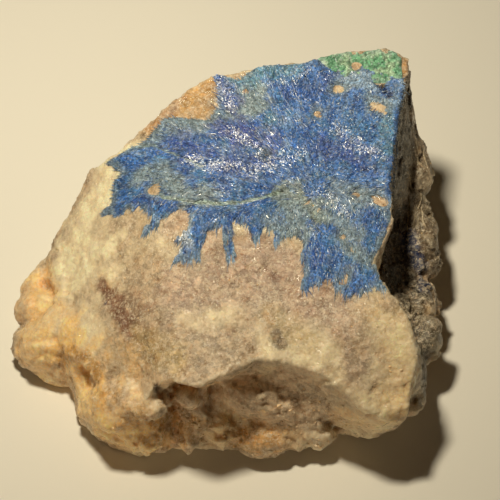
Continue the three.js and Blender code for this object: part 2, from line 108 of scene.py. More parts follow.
LINARITE_EDGE = [
    (-15.0, 13.7), (-18.4, 13.1), (-15.7, 9.8), (-17.4, 9.3), (-17.3, 6.1), (-17.1, 5.2), (-18.7, 5.1),
    (-17.4, 3.8), (-17.4, 2.8), (-16.0, 2.9), (-14.5, 3.4), (-13.3, 3.2), (-12.1, 2.5), (-11.1, 0.7),
    (-12.9, -1.6), (-10.5, -1.0), (-9.0, 0.6), (-6.8, 1.0), (-4.9, 0.1), (-5.7, -2.2), (-7.6, -3.7),
    (-6.3, -4.6), (-7.4, -6.7), (-5.6, -6.6), (-4.1, -6.5), (-3.3, -4.8), (-2.5, -3.1), (-1.4, -1.8),
    (-0.3, -1.5), (0.7, -7.0), (1.6, -4.2), (1.1, -0.2), (3.3, -1.5), (4.8, -4.3), (5.7, -2.9),
    (6.3, -1.7), (7.2, -1.9), (7.0, -5.4), (8.6, -3.8), (10.1, -2.6), (11.5, -3.6), (12.2, -4.4),
    (11.9, -5.4), (12.5, -9.5), (11.3, -10.1), (12.1, -11.5), (13.6, -11.0), (16.1, -9.9), (17.3, -12.0),
    (18.8, -12.8), (20.9, -12.2), (22.3, -11.4), (24.3, -11.7), (23.5, -9.4), (22.5, -6.7), (23.7, -3.9),
    (24.9, -1.5), (26.3, 4.9), (26.7, 8.2), (27.0, 11.7), (27.4, 15.4), (27.8, 18.6), (28.2, 20.7),
    (28.3, 23.1), (26.6, 24.1), (24.0, 25.1), (21.5, 25.8), (19.6, 25.6), (17.0, 25.3), (15.9, 25.9),
    (14.2, 26.8), (10.4, 25.7), (5.9, 26.4), (2.0, 23.4), (-0.2, 24.3), (-2.3, 24.4), (-1.8, 23.7),
    (-0.8, 20.7), (-0.7, 18.4), (-2.4, 16.0), (-5.1, 16.1), (-7.2, 16.9), (-9.2, 17.0), (-10.8, 15.9),
    (-13.4, 13.8),
]
MALACHITE_EDGE = [
    (13.9, 27.6), (15.9, 24.8), (17.0, 23.4), (19.6, 23.8), (21.5, 23.6), (24.0, 22.8), (26.4, 21.9),
    (28.4, 24.0), (28.4, 27.3), (27.1, 28.2), (24.4, 28.5), (21.3, 28.4), (18.1, 28.0), (15.8, 28.5),
]

# Places where the linarite is broken through to the quartz: (middle, half-widths, turn in degrees).
WINDOWS = [
    ((-10.8, 5.2), (0.94, 0.97), 0),
    ((3.1, 21.5), (0.58, 0.61), 0),
    ((14.6, 17.5), (0.65, 0.68), 20),
    ((17.8, 21.9), (0.94, 0.79), 0),
    ((20.8, 25.8), (0.72, 0.72), 0),
    ((24.1, 18.2), (1.58, 0.79), -40),
    ((20.0, 3.6), (0.65, 0.43), 10),
    ((23.8, 2.5), (1.44, 0.72), -25),
    ((18.0, -3.1), (0.58, 0.43), 0),
    ((6.4, 10.0), (0.36, 0.36), 0),
    ((18.1, -10.0), (1.37, 0.58), 65),
    ((19.5, -5.2), (0.94, 0.43), -40),
]
MALACHITE_WINDOW = WINDOWS[4]

# Colours, as linear reflectances.
CREAM = (0.98, 0.86, 0.60)
TAN = (0.48, 0.365, 0.25)
PINKISH = (0.44, 0.31, 0.235)
HONEY = (1.0, 0.66, 0.29)
GOLD = (1.0, 0.62, 0.22)
OLIVE_TAN = (0.50, 0.37, 0.17)
ORANGE = (0.62, 0.30, 0.08)
OCHRE = (0.50, 0.27, 0.07)
RUST = (0.27, 0.13, 0.075)
PINK_BROWN = (0.24, 0.125, 0.075)
DARK_BROWN = (0.085, 0.055, 0.035)
GREY_QUARTZ = (0.66, 0.49, 0.33)
WHITE_QUARTZ = (0.86, 0.76, 0.58)
WINDOW_TAN = (0.50, 0.29, 0.145)
PALE_THREAD = (0.80, 0.70, 0.55)
PALE_FLECK = (0.80, 0.64, 0.46)
THREAD_TINT = (0.42, 0.35, 0.24)
NAVY_STAIN = (0.03, 0.045, 0.12)
# Brown of the right wall, made darker with painted shade where the wall lies in shadow.
WALL_BROWN_AND_SHADE = (0.055, 0.047, 0.032)
# Tan of the lump on the right wall, made darker with painted shade, as the lump lies half in shadow.
LUMP_TAN_AND_SHADE = (0.125, 0.09, 0.055)

DEEP_BLUE = (0.025, 0.075, 0.34)
BLUE = (0.055, 0.175, 0.52)
MID_BLUE = (0.12, 0.27, 0.60)
VIOLET_BLUE = (0.085, 0.095, 0.34)
NAVY = (0.010, 0.018, 0.085)
PALE_BLUE = (0.26, 0.39, 0.56)
SAGE = (0.25, 0.335, 0.39)
TEAL = (0.13, 0.31, 0.42)
OLIVE = (0.30, 0.33, 0.20)
FROST = (0.50, 0.56, 0.62)
GREEN = (0.16, 0.40, 0.24)
MINT = (0.42, 0.58, 0.42)
DEEP_GREEN = (0.04, 0.20, 0.12)
VEIN_PALE = (0.34, 0.44, 0.40)
# Factors on a colour: milky and brown clouds in the quartz, iron film in its low places, and the shade
# between the needles.
MILKY = (1.24, 1.24, 1.20)
BROWNED = (0.76, 0.60, 0.46)
FILMED = (0.70, 0.50, 0.32)
SHADED = (0.45, 0.50, 0.62)

# Stains on the quartz, and painted shade on its right side: (colour, how strong, half-width, the places that
# it runs through). Later ones lie on top.
ORANGE_LUMP = [(3.1, -27.4, 6.4), (5.7, -27.6, 6.8), (8.5, -27.5, 6.5)]
STAINS = [
    (CREAM, 0.95, 7.0, [(-23.5, 0.6, 16.2), (-19.3, 6.5, 21.4), (-16.2, 11.5, 25.8)]),
    (TAN, 0.5, 3.0, [(-19.4, 3.1, 20.6), (-13.3, -2.4, 23.6), (-9.1, -8.0, 24.4)]),
    (CREAM, 0.9, 2.4, [(-24.5, -3.4, 13.4), (-21.2, -1.6, 17.7), (-17.4, -1.1, 21.3)]),
    (PINKISH, 0.85, 6.5, [(-5.1, -11.2, 24.3), (2.9, -10.2, 24.4), (9.9, -11.3, 24.3)]),
    (PINKISH, 0.8, 4.0, [(-7.1, -0.9, 27.0), (-0.1, -5.3, 25.4), (6.9, -6.3, 25.3), (10.9, -8.2, 24.8)]),
    (PINKISH, 0.8, 5.0, [(14.4, -12.6, 24.8), (17.9, -16.5, 24.2), (20.5, -22.0, 21.5)]),
    (PINK_BROWN, 1.0, 2.0, [(-18.5, -6.9, 18.5), (-17.3, -9.9, 18.9), (-15.7, -13.6, 19.6),
      (-13.9, -16.8, 19.7)]),
    (PINK_BROWN, 0.45, 2.2, [(-14.8, -10.8, 20.6), (-12.2, -16.8, 20.8), (-11.4, -19.3, 19.9)]),
    (OLIVE_TAN, 0.6, 3.0, [(-12.7, -18.0, 19.9), (-9.6, -21.0, 20.6), (-7.3, -22.4, 21.3)]),
    (OLIVE_TAN, 0.5, 2.5, [(6.9, -15.3, 23.5), (9.9, -18.0, 22.5), (12.9, -19.3, 22.4)]),
    (CREAM, 0.15, 5.0, [(21.2, -15.9, 24.5), (24.2, -19.2, 22.3), (24.7, -24.7, 18.3)]),
    (HONEY, 0.2, 4.0, [(22.9, -15.8, 24.4), (25.2, -19.2, 22.2), (25.8, -25.4, 17.6)]),
    (HONEY, 0.8, 5.5, [(-30.7, -1.7, 9.3), (-27.0, -6.3, 10.8), (-30.8, -12.7, 7.5)]),
    (CREAM, 0.85, 4.5, [(-25.0, 1.5, 14.0), (-25.3, -4.0, 12.5), (-24.6, -10.5, 12.5), (-22.5, -14.0, 14.0)]),
    (HONEY, 0.6, 3.2, [(-29.0, -1.0, 10.0), (-26.5, -6.0, 11.5), (-24.0, -9.5, 12.5)]),
    (GREY_QUARTZ, 0.6, 1.5, [(-32.6, -0.9, 8.6), (-33.2, -2.5, 8.2), (-33.0, -4.6, 8.4)]),
    (ORANGE, 0.9, 1.1, [(-29.1, -0.8, 9.7), (-28.1, -1.3, 10.1), (-27.0, -2.3, 11.0)]),
    (ORANGE, 0.2, 2.4, [(-26.4, -3.0, 11.2), (-24.8, -7.4, 12.2), (-23.3, -12.0, 13.5)]),
    (HONEY, 0.95, 6.0, [(-24.8, -13.9, 11.5), (-21.1, -22.4, 14.0), (-18.2, -25.7, 7.8),
      (-13.0, -28.0, 7.0)]),
    (CREAM, 0.3, 3.0, [(-22.0, -21.5, 7.0), (-20.5, -25.0, 7.5), (-17.1, -28.0, 5.0), (-12.0, -28.0, 5.0)]),
    (ORANGE, 0.35, 2.6, [(-14.8, -26.1, 15.0), (-12.1, -25.7, 9.7), (-9.8, -26.9, 8.3)]),
    (WHITE_QUARTZ, 0.3, 1.6, [(-9.7, -25.0, 15.7), (-11.1, -26.9, 15.4), (-13.6, -27.4, 14.3)]),
    (GREY_QUARTZ, 0.85, 5.0, [(-4.7, -24.7, 13.8), (0.8, -23.4, 13.2), (6.9, -24.6, 13.7),
      (10.0, -25.4, 10.6)]),
    (ORANGE, 0.65, 2.2, ORANGE_LUMP),
    (ORANGE, 0.4, 1.4, [(-7.3, -23.0, 9.8), (-7.3, -24.8, 4.7)]),
    (WHITE_QUARTZ, 0.7, 3.0, [(11.6, -26.9, 5.6), (14.7, -27.1, 5.3), (18.0, -26.5, 5.4)]),
    (OCHRE, 0.8, 4.2, [(-11.3, 17.6, 28.8), (-7.2, 19.7, 30.5), (-4.0, 21.4, 31.3), (-2.0, 23.2, 31.5)]),
    (PINKISH, 0.6, 2.5, [(-12.1, 17.1, 29.6), (-8.1, 20.1, 30.6)]),
    (DARK_BROWN, 0.6, 0.7, [(-12.9, 15.6, 27.7), (-13.8, 14.5, 27.9)]),
    (NAVY_STAIN, 0.9, 0.5, [(-18.4, -10.0, 18.1)]),
    (DARK_BROWN, 0.75, 1.1, [(7.7, -18.4, 22.6), (8.3, -19.9, 22.1)]),
    (RUST, 0.6, 1.2, [(7.5, -9.3, 24.5), (8.7, -9.9, 24.4)]),
    (ORANGE, 0.35, 0.7, [(6.1, -15.7, 23.4), (7.1, -16.7, 23.1)]),
    # The right wall, its druse and the chamfer below: a brown stain darkened with painted shade.
    (WALL_BROWN_AND_SHADE, 0.95, 5.5, [(27.4, 22.6, 28.0), (27.7, 10.9, 24.2), (27.5, 5.7, 14.9), (27.6, -0.3, 13.4)]),
    (WALL_BROWN_AND_SHADE, 0.88, 4.6, [(28.5, -3.9, 12.4), (30.7, -10.7, 12.5), (31.0, -19.6, 10.3)]),
    (WALL_BROWN_AND_SHADE, 0.6, 3.5, [(29.5, 17.6, 22.0), (31.0, 16.0, 17.5), (30.5, 11.0, 15.0)]),
    # The lump on the right wall: tan darkened with painted shade.
    (LUMP_TAN_AND_SHADE, 0.9, 3.6, [(32.3, 10.7, 13.0), (33.1, 5.4, 14.0), (32.4, 1.9, 12.1)]),
    (NAVY_STAIN, 0.9, 1.6, [(28.8, 6.1, 13.7), (29.5, 4.0, 13.1), (31.0, 1.3, 11.9), (31.9, -2.0, 11.7)]),
    (NAVY_STAIN, 0.5, 1.3, [(26.7, 15.6, 26.0), (26.5, 8.2, 25.2)]),
    (ORANGE, 0.5, 0.7, [(28.5, 26.8, 32.3), (28.3, 24.7, 32.1), (27.9, 21.9, 32.1)]),
    (HONEY, 0.35, 3.0, [(-4.3, -26.3, 7.0), (2.0, -27.0, 5.5), (10.0, -26.5, 6.0)]),
    (GOLD, 0.5, 6.5, [(-24.0, -16.0, 11.0), (-20.8, -23.2, 9.0), (-15.0, -27.5, 10.0), (-12.0, -27.8, 8.0)]),
    (OCHRE, 0.25, 3.0, ORANGE_LUMP),
    (WHITE_QUARTZ, 0.35, 2.4, [(-14.2, -24.1, 15.3), (-11.9, -25.6, 15.5), (-10.3, -24.8, 16.4)]),
    (OCHRE, 0.85, 1.3, [(-25.7, -14.1, 7.5), (-24.5, -14.9, 10.6), (-22.7, -16.0, 13.0), (-21.0, -17.3, 13.9),
      (-19.8, -18.6, 13.7), (-19.5, -19.9, 12.8)]),
    (OCHRE, 0.6, 1.3, [(-18.3, -22.7, 13.4), (-17.0, -23.9, 13.7), (-16.0, -23.8, 14.4)]),
    (OCHRE, 0.6, 2.0, [(-15.5, -27.5, 10.3), (-14.3, -27.1, 11.7), (-12.7, -27.6, 13.0)]),
    (OCHRE, 0.7, 0.9, [(-7.9, -23.9, 13.8), (-7.8, -23.6, 9.0), (-7.5, -24.9, 6.5), (-7.2, -26.7, 5.7)]),
    (OCHRE, 0.35, 1.2, [(-11.4, -28.1, 7.5), (-10.5, -27.1, 8.9)]),
    (DARK_BROWN, 0.9, 0.9, [(-10.2, -25.0, 18.2), (-9.8, -24.4, 16.1)]),
]

# Ridges, lips and lumps of the broken quartz, and its clefts and hollows:
# (height, half-width, the places that it runs through). A negative height is cut in.
FORMS = [
    (0.35, 1.3, [(-30.9, -11.6, 8.4), (-28.3, -12.5, 9.4), (-26.0, -13.0, 9.3)]),
    (-0.3, 0.7, [(-31.6, -10.7, 8.0), (-29.2, -11.5, 9.8), (-26.7, -11.7, 10.5)]),
    (0.4, 1.8, [(-31.8, -3.7, 9.4), (-31.8, -5.2, 8.8), (-31.3, -6.2, 8.0)]),
    (0.3, 1.6, [(-30.7, -3.1, 9.7), (-28.3, -4.4, 10.4), (-25.9, -6.0, 11.2)]),
    (0.3, 1.6, [(-29.1, 3.0, 10.5), (-30.1, 1.4, 9.8), (-31.1, -0.5, 9.3)]),
    (-0.3, 0.6, [(-10.2, -25.0, 18.6), (-9.6, -24.4, 15.7)]),
    (-0.35, 0.6, [(-8.4, -25.6, 14.8), (-8.2, -25.8, 4.0)]),
    (0.7, 1.2, [(-5.5, -24.4, 14.7), (-4.7, -24.0, 10.2)]),
    (0.6, 0.9, [(-4.4, -24.2, 9.7), (-4.3, -26.3, 6.9)]),
    (0.3, 0.8, [(-4.1, -26.3, 21.4), (-2.0, -25.8, 21.7), (-0.2, -25.0, 22.0), (0.9, -23.7, 22.4),
      (3.1, -23.1, 22.2), (5.7, -22.0, 21.9)]),
    (-0.25, 1.1, [(-7.1, -21.9, 12.1), (-4.0, -22.9, 13.5), (-1.6, -21.7, 12.3)]),
    (-0.3, 1.1, [(0.3, -22.5, 16.4), (2.7, -22.4, 17.9), (6.0, -22.2, 18.7)]),
    (-0.4, 0.6, [(-2.7, -24.1, 11.1), (-0.4, -24.7, 9.6), (2.0, -24.6, 8.2), (3.9, -25.2, 8.1),
      (5.7, -25.6, 8.1)]),
    (0.5, 1.0, [(9.6, -24.6, 12.2), (10.3, -25.2, 10.5), (10.0, -25.5, 9.2)]),
    (-0.5, 0.8, [(8.1, -23.4, 14.6), (9.2, -24.2, 12.7)]),
    (0.4, 1.4, [(9.1, -27.9, 5.3), (11.4, -27.7, 4.3)]),
    (0.25, 0.9, [(13.9, -23.5, 20.4), (16.5, -24.8, 19.1), (19.1, -26.5, 16.4), (21.9, -27.8, 16.2),
      (23.7, -28.3, 15.1), (26.4, -27.9, 13.1)]),
    (-0.5, 0.7, [(7.6, -19.0, 22.4), (8.5, -19.7, 22.1)]),
    (-0.2, 0.45, [(-18.0, -7.9, 18.6), (-16.3, -10.4, 19.5), (-15.1, -13.9, 19.9), (-14.2, -16.4, 19.6),
      (-12.5, -18.4, 19.7)]),
    (0.7, 2.6, [(-27.2, 1.6, 11.8), (-26.3, -1.6, 12.0), (-26.0, -4.3, 11.4), (-25.5, -7.4, 11.6),
      (-24.9, -10.5, 11.8)]),
    (0.25, 1.6, [(-18.7, -0.8, 20.3), (-18.3, -3.5, 19.8), (-18.4, -5.9, 19.0)]),
    (0.5, 1.6, [(-22.7, -21.4, 5.1), (-20.5, -24.4, 7.3), (-18.2, -25.6, 8.2)]),
    (-0.5, 0.8, [(14.6, -25.8, 9.7), (17.6, -24.2, 4.3)]),
    (0.5, 1.2, [(12.8, -26.5, 6.0), (15.0, -26.4, 6.5)]),
    (0.4, 0.7, [(-0.4, -22.0, 14.3), (2.4, -23.5, 14.2), (5.7, -24.3, 14.4)]),
    (-0.3, 0.5, [(2.4, -24.4, 13.3), (5.7, -25.0, 13.3), (8.4, -25.4, 11.6)]),
    (0.5, 0.9, [(-1.5, -26.0, 7.9), (0.5, -25.4, 7.8), (1.7, -25.7, 6.5)]),
    (-0.4, 0.6, [(-3.9, -26.4, 4.6), (-0.4, -27.1, 7.0), (2.3, -27.3, 6.1)]),
    (-0.4, 0.7, [(-8.2, -24.0, 14.2), (-7.8, -23.6, 9.0), (-6.9, -25.4, 7.5), (-6.1, -27.8, 5.5)]),
]

# Where a place of a table fades out and where it is full, in half-widths.
NARROW_BORDER = (1.0, 0.35)
WIDE_BORDER = (1.15, 0.5)
# Where the broken quartz is grainy: (how much, half-width, the places that it runs through).
GRAINY = [
    (1.0, 2.5, [(-6.0, -24.5, 12.0), (-5.0, -26.5, 6.0)]),
    (1.0, 4.0, [(3.0, -26.0, 5.0), (12.0, -26.5, 5.5), (18.0, -25.0, 6.0)]),
    (1.0, 2.5, [(10.0, -24.5, 12.0), (14.0, -24.0, 13.0)]),
    (1.0, 3.0, [(33.0, 12.0, 9.0), (33.0, 0.0, 8.0)]),
]
# Where it is broken in small steps and planes.
RUGGED = [
    (1.0, 6.0, [(31.0, 22.0, 14.0), (32.0, 8.0, 12.0), (32.0, -6.0, 10.0), (29.0, -16.0, 8.0)]),
]
# Slender pale blades that curve over the druse on the right side: (width, the places that they run through).
THREADS = [
    (0.42, [(29.4, 12.4, 18.0), (29.8, 9.9, 15.2), (29.6, 8.2, 14.2), (28.7, 5.5, 13.6)]),
    (0.36, [(31.5, 13.9, 16.6), (31.4, 11.9, 14.2), (30.8, 9.4, 14.3), (29.9, 6.9, 13.9)]),
    (0.32, [(32.2, 11.6, 14.2), (32.1, 7.2, 14.5), (31.7, 5.2, 14.0)]),
    (0.36, [(30.4, 18.0, 20.7), (31.5, 17.1, 19.1), (32.3, 15.7, 17.8)]),
    (0.30, [(32.2, 18.9, 19.5), (32.7, 17.1, 18.1), (33.0, 15.6, 16.8)]),
    (0.40, [(28.7, 12.3, 22.2), (30.1, 13.7, 17.7), (31.2, 12.8, 15.2)]),
    (0.34, [(30.5, 11.4, 14.6), (30.9, 8.8, 14.5), (31.3, 6.2, 14.3)]),
    (0.30, [(30.0, 20.0, 21.5), (30.9, 18.6, 19.8), (31.2, 16.4, 18.2)]),
]

# Pale, dark and violet parts of the linarite, in plan: (colour, how strong, half-width, the places that it
# runs through). The crust is thinner in the thin shades and has fewer blades in the pale ones.
BLUE_SHADES = [
    (SAGE, 0.9, 2.2, [(-12.3, 7.6), (-9.8, 8.0), (-7.4, 5.7)]),
    (SAGE, 0.90, 2.0, [(-8.2, 4.4), (-5.6, 3.1), (-2.1, 2.8)]),
    (SAGE, 1.00, 2.6, [(1.9, 16.8), (4.1, 19.0), (5.7, 21.2)]),
    (SAGE, 0.84, 1.8, [(-12.1, 14.6), (-8.2, 15.2), (-4.5, 14.7), (-0.1, 16.2)]),
    (TEAL, 0.84, 2.3, [(1.5, 23.6), (3.5, 24.0), (6.3, 24.3), (9.9, 24.6)]),
    (TEAL, 0.72, 1.0, [(6.1, 13.8), (7.1, 15.0), (7.3, 16.6)]),
    (TEAL, 0.66, 1.4, [(25.5, 10.6), (24.9, 14.1), (25.5, 16.2)]),
    (OLIVE, 0.96, 1.6, [(9.3, 4.2), (11.5, 3.4), (13.5, 1.8), (14.5, 0.4)]),
    (SAGE, 0.90, 2.2, [(10.1, 3.6), (11.3, 1.0), (11.1, -1.4), (9.9, -3.2)]),
    (SAGE, 0.84, 1.8, [(14.3, 1.6), (16.1, 0.0), (18.1, -1.0), (19.9, -2.6)]),
    (SAGE, 0.66, 1.9, [(16.7, 4.2), (19.5, 2.6), (21.7, 3.4)]),
    (SAGE, 0.72, 2.4, [(6.9, -0.6), (9.3, -1.2)]),
    (SAGE, 0.78, 1.4, [(18.5, -4.0), (20.3, -5.8), (21.9, -6.8)]),
    (PALE_BLUE, 0.96, 2.4, [(18.5, 23.0), (21.5, 23.2), (23.3, 22.2)]),
    (PALE_BLUE, 0.72, 1.9, [(25.7, 19.6), (26.3, 19.2)]),
    (NAVY, 0.9, 1.1, [(24.5, 22.4), (25.5, 20.2), (25.8, 20.4)]),
    (NAVY, 0.8, 0.5, [(-10.4, 3.0), (-9.6, 2.4)]),
    (VIOLET_BLUE, 0.6, 1.8, [(-0.5, 23.0), (0.5, 20.2), (1.3, 18.8)]),
    (VIOLET_BLUE, 0.65, 2.6, [(0.3, 14.2), (3.5, 13.0), (6.5, 11.6)]),
    (VIOLET_BLUE, 0.45, 2.6, [(-7.2, 11.7), (-1.1, 9.2), (4.9, 8.2)]),
    (VIOLET_BLUE, 0.4, 2.4, [(14.9, 11.4), (18.9, 10.4), (22.4, 8.0)]),
    (DEEP_BLUE, 0.5, 2.2, [(9.9, 21.6), (13.9, 21.0), (16.5, 23.2)]),
    (FROST, 0.65, 1.0, [(-5.7, -0.5), (-6.3, -3.5), (-5.1, -4.7)]),
]
THIN_SHADES = (SAGE, OLIVE)
PALE_SHADES = (SAGE, OLIVE, TEAL, PALE_BLUE)
# Where many blades are frosty, and the dark pit at the back edge of the crust.
FROSTY = [(-6.6, 0.6), (-7.2, -2.4), (-7.9, -3.9)]
DARK_PIT = [(24.0, 23.4), (24.6, 22.8)]
# Rows where some blades stand proud and lie at one slope, so that they glint together: (strength, half-width,
# the places that the row runs through).
BRIGHT_ROWS = [
    (0.75, 1.1, [(-5.5, 9.1), (-3.0, 7.7), (-0.7, 7.5), (2.3, 7.5), (4.7, 7.4), (7.3, 8.0)]),
    (0.65, 1.1, [(0.5, 13.8), (2.3, 12.7), (3.9, 11.5), (5.7, 10.5)]),
    (0.6, 1.5, [(-1.4, 24.1), (0.1, 21.1), (1.2, 18.2)]),
    (0.5, 1.4, [(5.7, 9.3), (7.8, 9.0), (10.1, 9.7), (11.6, 10.5)]),
    (0.6, 1.2, [(17.2, 14.7), (18.8, 13.8), (20.5, 12.4)]),
    (0.5, 1.1, [(18.9, 11.5), (21.7, 10.5), (24.0, 9.8)]),
    (0.6, 1.2, [(14.9, 4.1), (16.6, 2.6), (18.4, 0.5)]),
    (0.4, 1.0, [(9.4, 22.8), (11.0, 23.6), (12.6, 24.3)]),
    (0.6, 1.4, [(-6.8, -1.5), (-5.8, -3.7), (-7.0, -4.9)]),
]
# The slope of a blade that glints, as how far its normal leans right and back, and how the lean to the right
# changes with each millimetre to the right, as the rows curve.
BRIGHT_LEAN = (-0.075, -0.33)
BRIGHT_CURVE = -0.0052


# ------ numbers

# Odd numbers that scatter the cells of the noise, and the 32 bits that are kept of each product.
SCATTER = np.array([374761393, 668265263, 2246822519, 3266489917], np.uint64)
LOW_BITS = np.uint64(0xFFFFFFFF)


def smooth(low, high, value):
    """0 below low, 1 above high, and a smooth rise between them."""
    t = np.clip((value - low) / (high - low), 0, 1)
    return t * t * (3 - 2 * t)


def hashed(cells, seed):
    """A repeatable number from 0 to 1 for each cell of a whole-number lattice."""
    whole = cells.astype(np.int64).astype(np.uint64)
    word = (whole * SCATTER[:3]).sum(axis=-1) + np.uint64(seed) * SCATTER[3] + np.uint64(97)
    word = word & LOW_BITS
    for factor in SCATTER[2:]:
        word = ((word ^ (word >> np.uint64(15))) * factor) & LOW_BITS
    return (word ^ (word >> np.uint64(16))) / float(LOW_BITS)


def noise(points, size, seed=0):
    """Smooth noise from -1 to 1, with bumps about that size."""
    scaled = points / size
    cell = np.floor(scaled)
    part = scaled - cell
    part = part * part * (3 - 2 * part)
    total = np.zeros(len(points))
    for corner in itertools.product((0, 1), repeat=3):
        weight = np.prod(np.where(corner, part, 1 - part), axis=1)
        total += weight * hashed(cell + corner, seed)
    return total * 2 - 1


def fractal(points, size, octaves=3, seed=0):
    """Noise with smaller and weaker noise on it."""
    return sum(noise(points, size / 2 ** k, seed + k) / 2 ** k for k in range(octaves))


def lengths(vectors):
    return np.linalg.norm(vectors, axis=1)


def unit(vectors, softness=0.0):
    """Vectors of length 1; with a softness, short ones come out shorter than that."""
    return vectors / (lengths(vectors)[:, None] + softness)


def grains(points, size, seed=0):
    """The middle of the grain that each point is in."""
    scaled = points / size
    base = np.floor(scaled)
    nearest = np.full(len(points), np.inf)
    middle = np.zeros_like(points)
    for corner in itertools.product((-1, 0, 1), repeat=3):
        cell = base + corner
        seeded = cell + np.stack([hashed(cell, seed + k) for k in range(3)], axis=1)
        gap = lengths(seeded - scaled)
        closer = gap < nearest
        nearest[closer] = gap[closer]
        middle[closer] = seeded[closer]
    return middle * size


def facets(points, size, seed=0):
    """Height of flat planes, one to a grain, each tilted its own way by up to 45 degrees."""
    middle = grains(points, size, seed)
    marks = np.round(middle * 997)
    tilt = np.stack([hashed(marks, seed + 10 + k) * 2 - 1 for k in range(3)], axis=1)
    return ((points - middle) * tilt).sum(axis=1)


def path_distance(points, path):
    """Each point's distance from the line that runs through the places of the path."""
    path = np.array(path, float)
    if len(path) == 1:
        return lengths(points - path[0])
    best = np.full(len(points), np.inf)
    for start, end in zip(path[:-1], path[1:]):
        along = end - start
        t = np.clip(((points - start) @ along) / (along @ along), 0, 1)
        best = np.minimum(best, lengths(points - start - t[:, None] * along))
    return best


def near(points, path, width, border=NARROW_BORDER):
    """1 on the path, falling to 0 about that far from it."""
    return smooth(*border, path_distance(points, path) / width)


def strongest(points, lines, border=NARROW_BORDER):
    """The most that any line of a table gives at each point, up to the line's own strength."""
    amount = np.zeros(len(points))
    for strength, width, path in lines:
        amount = np.maximum(amount, strength * near(points, path, width, border))
    return amount


def inside_depth(points, outline):
    """How far each point is inside a closed outline in plan; outside it is negative."""
    outline = np.array(outline, float)
    following = np.roll(outline, -1, axis=0)
    depth = path_distance(points, np.vstack([outline, outline[:1]]))
    inside = np.zeros(len(points), bool)
    for (x0, y0), (x1, y1) in zip(outline, following):
        crosses = (y0 > points[:, 1]) != (y1 > points[:, 1])
        if crosses.any():
            at = x0 + (points[:, 1] - y0) / (y1 - y0) * (x1 - x0)
            inside ^= crosses & (points[:, 0] < at)
    return np.where(inside, depth, -depth)


def flat(points):
    """Plan points with a zero height, for the noise functions."""
    return np.column_stack([points, np.zeros(len(points))])


# ------ objects and their colours

def read(items, field):
    """A vector for each vertex or face, such as its place or its normal."""
    values = np.zeros(len(items) * 3, np.float32)
    items.foreach_get(field, values)
    return values.reshape(-1, 3).astype(float)


def new_object(name, data):
    made = bpy.data.objects.new(name, data)
    bpy.context.scene.collection.objects.link(made)
    return made


def edit(mesh, change):
    """Makes a change to the mesh as a bmesh."""
    work = bmesh.new()
    work.from_mesh(mesh)
    change(work)
    work.to_mesh(mesh)
    work.free()


def paint(mesh, colours):
    """Stores one colour a vertex, as the tint that the material reads."""
    layer = mesh.color_attributes.new("tint", "FLOAT_COLOR", "POINT")
    opaque = np.column_stack([colours, np.ones(len(colours))]).astype(np.float32)
    layer.data.foreach_set("color", opaque.ravel())


def new_piece(name, points, faces, colours, material, slot):
    """A mesh piece from places in millimetres, riding on the specimen's one body."""
    mesh = bpy.data.meshes.new(name)
    mesh.from_pydata((np.asarray(points) * MM).tolist(), [], np.asarray(faces).tolist())
    mesh.update()
    piece = new_object(name, mesh)
    mesh.materials.append(material)
    paint(mesh, colours)
    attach(piece, "root")
    return piece


def mixed(base, colour, amount):
    """Base colours, or one colour for all, with that much of another colour in them."""
    return base + (np.asarray(colour) - base) * np.asarray(amount)[:, None]


def layered(base, layers):
    """Base colours with some of each layer's colour, where its value goes from low to high."""
    for colour, amount, low, high, value in layers:
        base = mixed(base, colour, amount * smooth(low, high, value))
    return base


def stained(base, points, stains, ragged, border):
    """Base colours with the stains of a table on them, each with a ragged border of that softness."""
    for colour, strength, width, path in stains:
        far = path_distance(points, path) / width + 0.45 * ragged
        base = mixed(base, colour, strength * smooth(*border, far))
    return base


# ------ materials

